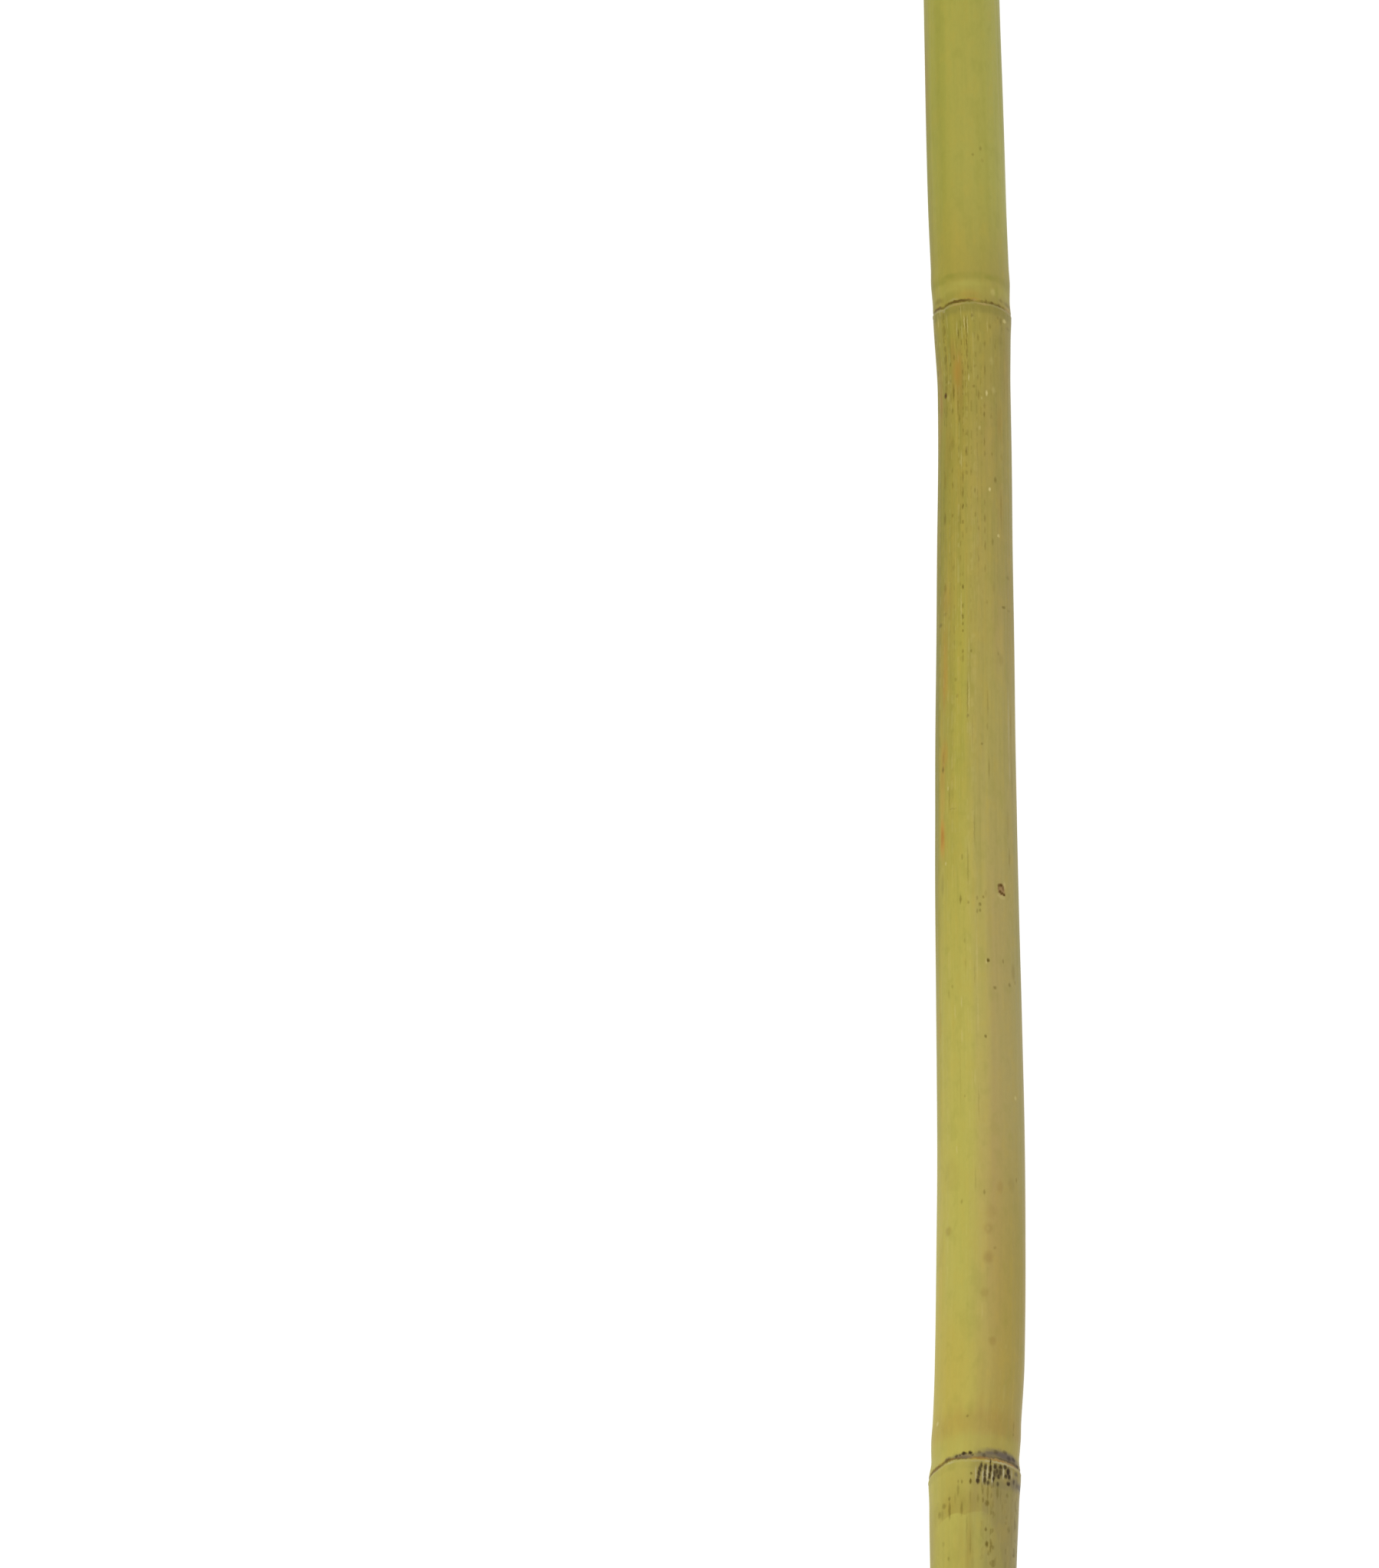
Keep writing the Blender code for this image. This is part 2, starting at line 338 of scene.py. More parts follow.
def node_relief(node, station, angle, radius):
    """Height that a node adds to the plain culm: lip, step, ridge, bud and groove."""
    above = station - node["station"]
    lip = node["lip"] + node["lip_bias"] * np.sin(angle)
    relief = lip * bell(above + LIP_BELOW_SCAR, LIP_SPREAD)
    relief = relief - node["step"] * bell(above - STEP_ABOVE_SCAR, STEP_SPREAD)
    relief = relief + RIDGE_HEIGHT * bell(above - RIDGE_ABOVE_SCAR, RIDGE_SPREAD)
    aside = radius * angle_between(angle, node["bud_angle"])
    deepens = smooth_step(GROOVE_STARTS, GROOVE_FULL_AT, above)
    fades = 1 - smooth_step(GROOVE_FULL_AT, node["groove_length"], above)
    groove = GROOVE_DEPTH * deepens * fades * bell(aside, GROOVE_HALF_WIDTH)
    return relief + bud_relief(above, aside) - groove


def round_waves(station, angle, counts, run, seed):
    """Even mix of waves round the cane that drift and fade slowly along it, about 1 high.

    wave = cos(count x angle + drift x station + phase) x cos(fade x station + phase), where
    drift and fade go once round within one to three runs of length.
    """
    draw = random.Random(seed)
    total = np.zeros(np.broadcast(station, angle).shape)
    for count in counts:
        drift = 2 * math.pi / (run * draw.uniform(1, 3)) * draw.choice((-1, 1))
        fade = 2 * math.pi / (run * draw.uniform(1, 3))
        turn = count * angle + drift * station + draw.uniform(0, 2 * math.pi)
        total += np.cos(turn) * np.cos(fade * station + draw.uniform(0, 2 * math.pi))
    return total / math.sqrt(len(counts) / 4)


def scar_crack(ring, angle, sizes):
    """Depth of the crack along each scar, uneven round the cane.

    crack = depth x (mean + uneven x waves) x (bell(ring - node) - a lower bell below it)
    """
    total = 0
    width = sizes.scar_half_width
    for number, node in enumerate(NODES):
        from_scar = ring - node["station"]
        waves = round_waves(0, angle, CRACK_WAVES, CRACK_RUN, SEED + number)
        depth = sizes.scar_depth * (CRACK_MEAN + CRACK_UNEVEN * waves)
        edge = CRACK_EDGE * bell(from_scar + CRACK_EDGE_BELOW * width, CRACK_EDGE_SPREAD * width)
        total = total + depth * (bell(from_scar, width) - edge)
    return total


def outer_surface(ring, angle, sizes, inset=0.0):
    """Points on the outside of the culm, pressed flat where it meets the floor.

    The radius is half the diameter plus the nodes' relief, the ribs and slow waves, less
    the scars' cracks. It is laid round the wandering axis, and no point is below the floor.
    """
    station = on_scars(ring, angle)
    plain = smooth_through(DIAMETERS, station) / 2
    ribs = round_waves(station, angle, RIB_WAVES, RIB_RUN, SEED + 2)
    lumps = round_waves(station, angle, LUMP_WAVES, LUMP_RUN, SEED + 3)
    radius = plain + sum(node_relief(node, station, angle, plain) for node in NODES)
    radius = radius - scar_crack(ring, angle, sizes)
    radius = radius + sizes.fibre_relief * ribs + sizes.lump_relief * lumps - inset
    lean = sum(node["lean"] * bell(station - node["station"], LEAN_SPREAD) for node in NODES)
    x = smooth_through(SIDEWAYS, station) + radius * np.sin(angle)
    y = station - LENGTH / 2 + lean * np.cos(angle)
    z = np.maximum(smooth_through(HEIGHTS, station) + radius * np.cos(angle), 0)
    return x, y, z


def hollow_surface(station, angle, shrink, sizes):
    """Points on the wall of a hollow: the wall's inner radius, wrinkled, times shrink."""
    wall = sizes.wall_at_butt + (sizes.wall_at_tip - sizes.wall_at_butt) * station / LENGTH
    radius = shrink * (smooth_through(DIAMETERS, station) / 2 - wall)
    wrinkle = PITH_WRINKLE * round_waves(station, angle, PITH_WAVES, PITH_RUN, SEED + 4)
    from_mouth = np.minimum(station, LENGTH - station)
    radius = radius + shrink * wrinkle * smooth_step(0, PITH_SMOOTH_MOUTH, from_mouth)
    x = smooth_through(SIDEWAYS, station) + radius * np.sin(angle)
    y = station - LENGTH / 2 + 0 * angle
    z = smooth_through(HEIGHTS, station) + radius * np.cos(angle)
    return x, y, z


def spaced(start, stop, spacing):
    """Stations from start up to but without stop, about one spacing apart."""
    count = max(round((stop - start) / spacing), 1)
    return np.linspace(start, stop, count, endpoint=False)


def skin_rings(rim):
    """Rings along the outside, closest over the scars and close over the nodes."""
    pieces = []
    start = rim
    for node in NODES:
        middle = node["station"]
        bounds = (
            (middle - NODE_BELOW, CALM_SPACING),
            (middle - SCAR_REACH, NODE_SPACING),
            (middle + SCAR_REACH, SCAR_SPACING),
            (middle + NODE_ABOVE, NODE_SPACING),
        )
        for stop, spacing in bounds:
            pieces.append(spaced(start, stop, spacing))
            start = stop
    pieces.append(spaced(start, LENGTH - rim, CALM_SPACING))
    return np.concatenate(pieces + [[LENGTH - rim]])


def hollow_block(mouth, end, angle, sizes):
    """One hollow from its mouth to its domed end, as rings of points.

    The dome is a quarter of an ellipse: station grows with sin, radius falls with cos.
    """
    inward = math.copysign(1.0, end - mouth)
    shoulder = end - inward * HOLLOW_END_HEIGHT
    count = round(abs(shoulder - mouth) / HOLLOW_SPACING) + 1
    turn = np.linspace(0, math.pi / 2, DOME_RINGS + 1)[1:-1]
    station = np.concatenate((
        np.linspace(mouth, shoulder, count),
        shoulder + inward * HOLLOW_END_HEIGHT * np.sin(turn),
    ))
    shrink = np.concatenate((np.ones(count), np.cos(turn)))
    return station, hollow_surface(station[:, None], angle, shrink[:, None], sizes)


def face_block(mouth, angle, sizes):
    """Sawn end face between hollow and rim: a straight line from one to the other.

    It is scored by the saw: height = relief x waves across the face, none at its edges.
    """
    share = np.linspace(0, 1, WALL_RINGS + 2)[1:-1, None]
    inner = np.array(hollow_surface(mouth, angle, 1.0, sizes))[:, None, :]
    outer = np.array(outer_surface(mouth, angle, sizes, sizes.worn_rim))[:, None, :]
    x, y, z = inner + (outer - inner) * share
    across = 2 * math.pi * (SAW_IN_X * x + SAW_IN_Z * z) / SAW_PITCH
    scored = np.cos(across + SAW_BEND * np.sin(z / SAW_BEND_SIZE))
    into = math.copysign(1.0, LENGTH / 2 - mouth)
    y = y + into * sizes.saw_relief * scored * np.sin(math.pi * share)
    return share[:, 0], (x, y, z)


def rim_block(mouth, angle, sizes):
    """Worn edge of a sawn end: a quarter round between the end face and the skin."""
    turn = np.linspace(0, math.pi / 2, RIM_RINGS, endpoint=False)[:, None]
    into = math.copysign(1.0, LENGTH / 2 - mouth)
    ring = mouth + into * sizes.worn_rim * (1 - np.cos(turn))
    return ring[:, 0], outer_surface(ring, angle, sizes, sizes.worn_rim * (1 - np.sin(turn)))


# Kinds of surface, in the order of the object's materials
SKIN, CUT, LINING = 0, 1, 2

# Strips of the skin on the bake map, by station, and where each kind of surface lies on it
STRIP_ENDS = np.array((0, 134, 263, 400)) * MM
STRIPS = len(STRIP_ENDS) - 1
MAP_WIDTH, MAP_GAP = 138 * MM, 0.9 * MM
SKIN_STRIP_WIDTH, LINING_STRIP_WIDTH = 38 * MM, 7.5 * MM
LINING_SQUEEZE = 0.78
DISC_RADIUS, DISC_HOLE = 6.8 * MM, 0.6


def culm_rings(angle, sizes):
    """The culm's surface as one run of rings: up the butt hollow, out, along, and back in.

    Given ring by ring: the kind of surface, the station, the share of the wall from hollow
    to skin, and the points.
    """
    blocks = []

    def add(kind, station, share, points, backwards=False):
        points = np.stack(np.broadcast_arrays(*points), 2)
        block = [np.broadcast_to(part, len(points)) for part in (kind, station, share)]
        blocks.append([part[::-1] if backwards else part for part in (*block, points)])

    station, points = hollow_block(0.0, HOLLOW_ENDS[0], angle, sizes)
    add(LINING, station, 0.0, points, backwards=True)
    share, points = face_block(0.0, angle, sizes)
    add(CUT, 0.0, share, points)
    ring, points = rim_block(0.0, angle, sizes)
    add(CUT, ring, 1.0, points)
    ring = skin_rings(sizes.worn_rim)
    add(SKIN, ring, 1.0, outer_surface(ring[:, None], angle, sizes))
    ring, points = rim_block(LENGTH, angle, sizes)
    add(CUT, ring, 1.0, points, backwards=True)
    share, points = face_block(LENGTH, angle, sizes)
    add(CUT, LENGTH, share, points, backwards=True)
    station, points = hollow_block(LENGTH, HOLLOW_ENDS[1], angle, sizes)
    add(LINING, station, 0.0, points)
    return [np.concatenate(parts) for parts in zip(*blocks)]


def fill_mesh(mesh, points, corners, sizes_of_faces):
    """Puts points and faces into a mesh; corners holds the faces' point numbers in turn."""
    mesh.vertices.add(len(points))
    mesh.vertices.foreach_set("co", points.astype(np.float32).ravel())
    mesh.loops.add(len(corners))
    mesh.loops.foreach_set("vertex_index", corners.astype(np.int32))
    mesh.polygons.add(len(sizes_of_faces))
    starts = np.concatenate(([0], np.cumsum(sizes_of_faces)[:-1]))
    mesh.polygons.foreach_set("loop_start", starts.astype(np.int32))
    mesh.update(calc_edges=True)


def bake_places(kind, at_butt, station, share, across, turn):
    """Places on the bake map: the skin in three strips, the linings in two, and two discs.

    A strip is laid out as width across by station up. An end face is a disc: its radius
    grows with the share from hollow to skin.
    """
    strip = np.searchsorted(STRIP_ENDS, station.mean(1), side="right") - 1
    strip = np.clip(strip, 0, STRIPS - 1)[:, None]
    skin_u = MAP_GAP + strip * (SKIN_STRIP_WIDTH + MAP_GAP) + across * SKIN_STRIP_WIDTH
    skin_v = MAP_GAP + station - STRIP_ENDS[strip]
    side_column = MAP_GAP + STRIPS * (SKIN_STRIP_WIDTH + MAP_GAP)
    lining_step = np.where(at_butt, 0, LINING_STRIP_WIDTH + MAP_GAP)[:, None]
    lining_u = side_column + lining_step + across * LINING_STRIP_WIDTH
    from_mouth = np.where(at_butt[:, None], station, LENGTH - station)
    lining_v = MAP_GAP + from_mouth * LINING_SQUEEZE
    reach = DISC_RADIUS * (DISC_HOLE + (1 - DISC_HOLE) * share)
    disc_v = MAP_WIDTH - np.where(at_butt, 1, 3)[:, None] * (DISC_RADIUS + MAP_GAP)
    cut_u = side_column + DISC_RADIUS + MAP_GAP + reach * np.sin(turn)
    cut_v = disc_v + reach * np.cos(turn)
    choose = [kind[:, None] == SKIN, kind[:, None] == CUT]
    u = np.select(choose, (skin_u, cut_u), lining_u)
    v = np.select(choose, (skin_v, cut_v), lining_v)
    return np.stack((u, v), 2) / MAP_WIDTH


def grid_faces(count, sides):
    """Corners of the faces of a closed grid: rings of quads, then a fan at each pole.

    For each of the three kinds it gives the points' numbers, their rings and their columns.
    A point's number is ring x sides + column, and the two poles come after all of them. The
    column is one past the last where a face crosses the seam.
    """
    row, column = np.divmod(np.arange((count - 1) * sides), sides)
    side = np.arange(sides)
    fan = np.stack((side, side + 1, side), 1)
    rings = (
        np.stack((row, row, row + 1, row + 1), 1), np.zeros_like(fan), np.full_like(fan, count - 1),
    )
    columns = (np.stack((column, column + 1, column + 1, column), 1), fan, fan)
    numbers = [ring * sides + across % sides for ring, across in zip(rings, columns)]
    numbers[1][:, 0] = count * sides
    numbers[2][:, 2] = count * sides + 1
    return numbers, rings, columns


def face_kinds(kind, sides):
    """Kind of surface of each face, for quads and both fans: cut wood wins at a border."""
    cut = (kind[:-1] == CUT) | (kind[1:] == CUT)
    lining = ((kind[:-1] == LINING) | (kind[1:] == LINING)) & ~cut
    rows = np.where(lining, LINING, np.where(cut, CUT, SKIN))
    return np.repeat(rows, sides), np.full(sides, LINING), np.full(sides, LINING)


def lay_maps(mesh, rings, columns, kinds, station, share):
    """Gives the mesh its two maps: the skin's by turn and station, and the bake map."""
    sides = station.shape[1] - 1
    maps = {"skin": [], "OFBake": []}
    for rows, across, kind in zip(rings, columns, kinds):
        at = station[rows, across]
        across = across / sides
        turn = 2 * math.pi * across - math.pi
        at_butt = at.mean(1) < LENGTH / 2
        maps["skin"].append(np.stack((across, at / LENGTH), 2))
        maps["OFBake"].append(bake_places(kind, at_butt, at, share[rows], across, turn))
    for name, parts in maps.items():
        layer = mesh.uv_layers.new(name=name)
        flat = np.concatenate([part.reshape(-1, 2) for part in parts])
        layer.data.foreach_set("uv", flat.astype(np.float32).ravel())


def lay_places(mesh, angle, ring, station, share, poles):
    """Gives the mesh's points their place on a straight rod, and what lies by the scars.

    Both are in mm. The second holds the distance above each scar, and the share of the wall
    from hollow to skin.
    """
    sides = len(angle)
    x, y, z = np.broadcast_arrays(
        MEAN_RADIUS * np.sin(angle), station[:, :-1], MEAN_RADIUS * np.cos(angle)
    )
    straight = np.concatenate((np.stack((x, y, z), 2).reshape(-1, 3), poles)) / MM
    above = [(ring - node["station"]) / MM for node in NODES]
    above = np.repeat(np.stack(above + [share], 1), sides, 0)
    above = np.concatenate((above, above[[0, -1]]))
    for name, values in (("straight", straight), ("above_scars", above)):
        attribute = mesh.attributes.new(name, "FLOAT_VECTOR", "POINT")
        attribute.data.foreach_set("vector", values.astype(np.float32).ravel())


def culm_mesh(sizes):
    """The whole culm as one closed grid of rings, with a pole at the end of each hollow."""
    sides = sizes.sides
    angle = np.linspace(-math.pi, math.pi, sides, endpoint=False)
    kind, ring, share, grid = culm_rings(angle, sizes)
    poles = np.array([grid[0].mean(0), grid[-1].mean(0)])
    poles[:, 1] = np.array(HOLLOW_ENDS) - LENGTH / 2
    numbers, rings, columns = grid_faces(len(ring), sides)
    kinds = face_kinds(kind, sides)

    mesh = bpy.data.meshes.new("cane_culm")
    corners = np.concatenate([part.ravel() for part in numbers])
    counts = np.concatenate([np.full(len(part), part.shape[1]) for part in numbers])
    fill_mesh(mesh, np.concatenate((grid.reshape(-1, 3), poles)), corners, counts)
    mesh.polygons.foreach_set("material_index", np.concatenate(kinds).astype(np.int32))

    station = on_scars(ring[:, None], np.append(angle, math.pi))
    station = np.where(kind[:, None] == SKIN, station, ring[:, None])
    lay_maps(mesh, rings, columns, kinds, station, share)
    lay_places(mesh, angle, ring, station, share, poles)
    return mesh


class Wiring:
    """Adds nodes to one node tree and joins them up in the order in which they are read."""

    def __init__(self, tree):
        self.tree = tree

    def feed(self, socket, value):
        """Joins a socket to another node's output, or sets a plain value on it."""
        if isinstance(value, bpy.types.NodeSocket):
            self.tree.links.new(value, socket)
        else:
            socket.default_value = value

    def node(self, kind, inputs=(), **settings):
        node = self.tree.nodes.new(kind)
        for name, value in settings.items():
            setattr(node, name, value)
        for socket, value in dict(inputs).items():
            self.feed(node.inputs[socket], value)
        return node

    def maths(self, operation, *values):
        return self.node("ShaderNodeMath", enumerate(values), operation=operation).outputs[0]

    def times(self, first, *others):
        """The product of several values, multiplied one after another."""
        for other in others:
            first = self.maths("MULTIPLY", first, other)
        return first

    def without(self, mask, cleared):
        """The mask less another one, and never less than 0."""
        return self.maths("MAXIMUM", self.maths("SUBTRACT", mask, cleared), 0.0)

    def vectors(self, operation, *values):
        return self.node("ShaderNodeVectorMath", enumerate(values), operation=operation).outputs[0]

    def parts(self, vector):
        """X, Y and Z of a vector."""
        return self.node("ShaderNodeSeparateXYZ", {0: vector}).outputs[:]

    def ease(self, value, start, end, low=0.0, high=1.0):
        """Goes smoothly from low to high while the value goes from start to end."""
        inputs = {0: value, 1: start, 2: end, 3: low, 4: high}
        settings = {"interpolation_type": "SMOOTHSTEP", "clamp": False}
        return self.node("ShaderNodeMapRange", inputs, **settings).outputs[0]

    def scaled(self, vector, scale):
        node = self.node("ShaderNodeVectorMath", {0: vector, "Scale": scale}, operation="SCALE")
        return node.outputs[0]

    def carried(self, name):
        """A vector that the mesh carries at its points."""
        return self.node("ShaderNodeAttribute", attribute_name=name).outputs["Vector"]

    def lay(self, mask, under, over):
        """The colour under, with the colour over laid on it where the mask is 1."""
        inputs = {0: mask, 6: under, 7: over}
        return self.node("ShaderNodeMix", inputs, data_type="RGBA").outputs[2]

    def grain(self, vector, scale, detail=2.0, roughness=0.5, colour=False):
        inputs = {"Vector": vector, "Scale": scale, "Detail": detail, "Roughness": roughness}
        return self.node("ShaderNodeTexNoise", inputs).outputs[1 if colour else 0]

    def group(self, tree, inputs):
        return self.node("ShaderNodeGroup", inputs, node_tree=tree).outputs[0]

    def feed_shader(self, shader, inputs, height=None, strength=0.0, distance=0.0):
        """Feeds the shader's sockets, and its normal from a height in metres if one is given."""
        for name, value in inputs.items():
            self.feed(shader.inputs[name], value)
        if height is not None:
            relief = {"Height": height, "Strength": strength, "Distance": distance}
            self.feed(shader.inputs["Normal"], self.node("ShaderNodeBump", relief).outputs[0])


def new_material(name):
    """A material with its wiring and its shader."""
    material = bpy.data.materials.new(name)
    material.use_nodes = True
    return material, Wiring(material.node_tree), material.node_tree.nodes["Principled BSDF"]


SOCKETS = {float: "NodeSocketFloat", tuple: "NodeSocketVector"}


def new_group(name, inputs, output):
    """A shader node group with named inputs, given as name: default, and one float output."""
    tree = bpy.data.node_groups.new(name, "ShaderNodeTree")
    for label, default in inputs.items():
        socket = tree.interface.new_socket(
            label, in_out="INPUT", socket_type=SOCKETS[type(default)]
        )
        socket.default_value = default
    tree.interface.new_socket(output, in_out="OUTPUT", socket_type="NodeSocketFloat")
    wiring = Wiring(tree)
    given = wiring.node("NodeGroupInput").outputs
    result = wiring.node("NodeGroupOutput").inputs[0]
    return tree, wiring, given, result


def spot_group():
    """Soft spot: at half its strength on its oval outline, whose softness is set by Soft."""
    inputs = {
        "Place": (0.0, 0.0, 0.0), "Centre": (0.0, 0.0, 0.0), "Half Size": (1.0, 1.0, 1.0),
        "Soft": 0.7, "Strength": 1.0,
    }
    tree, wiring, given, result = new_group("soft spot", inputs, "Mask")
    off = wiring.vectors("SUBTRACT", given["Place"], given["Centre"])
    scaled = wiring.vectors("DIVIDE", off, given["Half Size"])
    distance = wiring.node("ShaderNodeVectorMath", {0: scaled}, operation="LENGTH").outputs[1]
    outside = wiring.maths("ADD", 1.0, given["Soft"])
    inside = wiring.maths("SUBTRACT", 1.0, given["Soft"])
    wiring.feed(result, wiring.ease(distance, outside, inside, 0.0, given["Strength"]))
    return tree


def fibre_group():
    """Lengthwise fibres: noise drawn out along the cane, from about 0 to 1."""
    inputs = {"Straight": (0.0, 0.0, 0.0), "Pitch": 1.0, "Run": 20.0, "Detail": 2.0}
    tree, wiring, given, result = new_group("lengthwise fibres", inputs, "Fibres")
    pitch, run = given["Pitch"], given["Run"]
    size = wiring.node("ShaderNodeCombineXYZ", {0: pitch, 1: run, 2: pitch}).outputs[0]
    drawn = wiring.vectors("DIVIDE", given["Straight"], size)
    fibres = wiring.grain(drawn, 1.0, given["Detail"], 0.55)
    wiring.feed(result, wiring.ease(fibres, 0.2, 0.8))
    return tree


def fleck_group():
    """Scattered flecks: one in a share of the cells, each an oval of the given half size."""
    inputs = {
        "Place": (0.0, 0.0, 0.0), "Half Size": (0.1, 0.3, 1.0), "Sparseness": 8.0,
        "Share": 0.1, "Offset": (0.0, 0.0, 0.0),
    }
    tree, wiring, given, result = new_group("scattered flecks", inputs, "Mask")
    moved = wiring.vectors("ADD", given["Place"], given["Offset"])
    scaled = wiring.vectors("DIVIDE", moved, given["Half Size"])
    cells = wiring.scaled(scaled, wiring.maths("DIVIDE", 1.0, given["Sparseness"]))
    inputs = {"Vector": cells, "Scale": 1.0}
    spots = wiring.node("ShaderNodeTexVoronoi", inputs, voronoi_dimensions="2D")
    reach = wiring.times(spots.outputs["Distance"], given["Sparseness"])
    oval = wiring.ease(reach, 1.0, 0.3)
    drawn = wiring.parts(spots.outputs["Color"])
    chosen = wiring.maths("LESS_THAN", drawn[0], given["Share"])
    strength = wiring.ease(drawn[1], 0.0, 1.0, 0.35, 1.0)
    wiring.feed(result, wiring.times(oval, chosen, strength))
    return tree


# Broad washes of colour on the skin: angle (degrees), station (mm), half angle, half length
# and strength. A half size reaches to where half of the strength is left. These places and
# those of the marks below were read off.
WASHES = {
    "olive": (
        (-44, 302, 12, 24, 0.28), (-52, 240, 11, 9, 0.28), (-60, 252, 9, 10, 0.30),
        (-40, 262, 7, 5, 0.20), (-66, 236, 10, 11, 0.10), (-25, 254, 6, 7, 0.16), (45, 191, 7, 7, 0.08),
        (60, 138, 9, 13, 0.08), (28, 292, 3, 10, 0.12), (62, 176, 9, 18, 0.10),
        (-25, 267.5, 34, 3.6, 0.26), (-52, 266, 10, 5, 0.12), (-14, 126, 14, 15, 0.10),
        (54, 172, 10, 40, 0.05), (77, 176, 9, 11, 0.20), (-70, 261, 9, 7, 0.24),
    ),
    # Painted shade: these washes darken both flanks of the cane, where the skin turns from the light
    "flank_shade": (
        (-80, 212, 15, 44, 0.74), (-78, 150, 12, 14, 0.16), (-52, 213, 17, 42, 0.12),
        (-80, 300, 15, 34, 0.50), (84, 180, 17, 32, 0.36), (84, 250, 17, 24, 0.34),
        (84, 314, 18, 16, 0.30), (84, 118, 17, 28, 0.12), (84, 90, 18, 6, 0.16),
    ),
    "gold": (
        (-25, 282, 14, 5, 0.14), (-60, 199, 6, 9, 0.30), (-50, 113, 40, 8, 0.38),
        (-68, 127, 10, 6, 0.30), (30, 116, 16, 9, 0.15), (-66, 142, 7, 14, 0.14),
        (-20, 256, 9, 12, 0.10),
    ),
    "lemon": (
        (-26, 213, 8, 15, 0.24), (-36, 186, 22, 20, 0.16), (-30, 143, 16, 14, 0.12),
        (-12, 226, 10, 16, 0.18), (-52, 276, 14, 2, 0.12), (0, 90, 8, 4, 0.14), (11, 229, 14, 16, 0.15),
        (29, 203, 18, 15, 0.15),
    ),
    "rust": (
        (-29, 260.6, 9, 3.6, 0.36), (-24, 256, 6, 3, 0.12), (-53, 226.4, 11, 2.1, 0.24),
        (-38, 265, 4.5, 1.4, 0.28), (-69, 259, 8, 5, 0.36), (-66, 257, 3.5, 1.6, 0.28),
        (41, 253, 5, 2.4, 0.26), (60, 262, 10, 6, 0.16), (-80, 308, 9, 6, 0.25),
        (-72, 164.5, 6, 1.8, 0.22), (-48, 249, 7, 3, 0.16), (-20, 106.2, 50, 2.4, 0.20),
        (42, 240, 6, 4, 0.14), (62, 226, 9, 8, 0.10),
    ),
    "ember": (
        (-57, 191.2, 4.0, 1.9, 0.60), (-54, 203.2, 5.5, 1.9, 0.36), (-57, 197, 5, 3.4, 0.16),
        (-53, 214.6, 5.5, 3.4, 0.30), (-54, 220.2, 6, 1.8, 0.18), (-29, 261.6, 6, 2.2, 0.20),
        (-72, 252, 6, 2, 0.10), (-55, 189.4, 7, 1.6, 0.12), (-59, 199.6, 5, 1.4, 0.14),
    ),
    "rose": (
        (7, 136, 17, 22, 0.34), (4, 230, 16, 20, 0.16), (34, 221, 10, 5, 0.22), (20, 176, 10, 12, 0.14),
        (18, 250, 10, 6, 0.14), (-2, 300, 22, 16, 0.06),
    ),
    "umber": (
        (62, 232, 10, 15, 0.20), (56, 205, 10, 13, 0.12), (25, 254, 18, 7, 0.06),
        (48, 96, 24, 4.5, 0.22), (70, 92, 14, 7, 0.30), (-76, 90, 9, 6, 0.50),
    ),
    "russet": (
        (-28, 88, 26, 5, 0.12), (-9, 89.5, 3.5, 5, 0.30), (-19, 89.5, 6, 4, 0.10),
        (-62, 91, 5, 3, 0.08),
    ),
}

# Print that a lost sheath left below the lower scar, and the browned skin above its edge
SHEATH_PRINT = ((-30, 86, 45, 7.7, 1.0), (0, 84, 42, 9.8, 1.0))
BROWNED = (
    (-14, 97.2, 27, 3.8, 0.14), (-13, 94.6, 22, 1.8, 0.12), (-40, 94.4, 12, 1.6, 0.12),
    (-60, 94.2, 8, 1.4, 0.10), (-40, 96.2, 22, 3.0, 0.08),
)

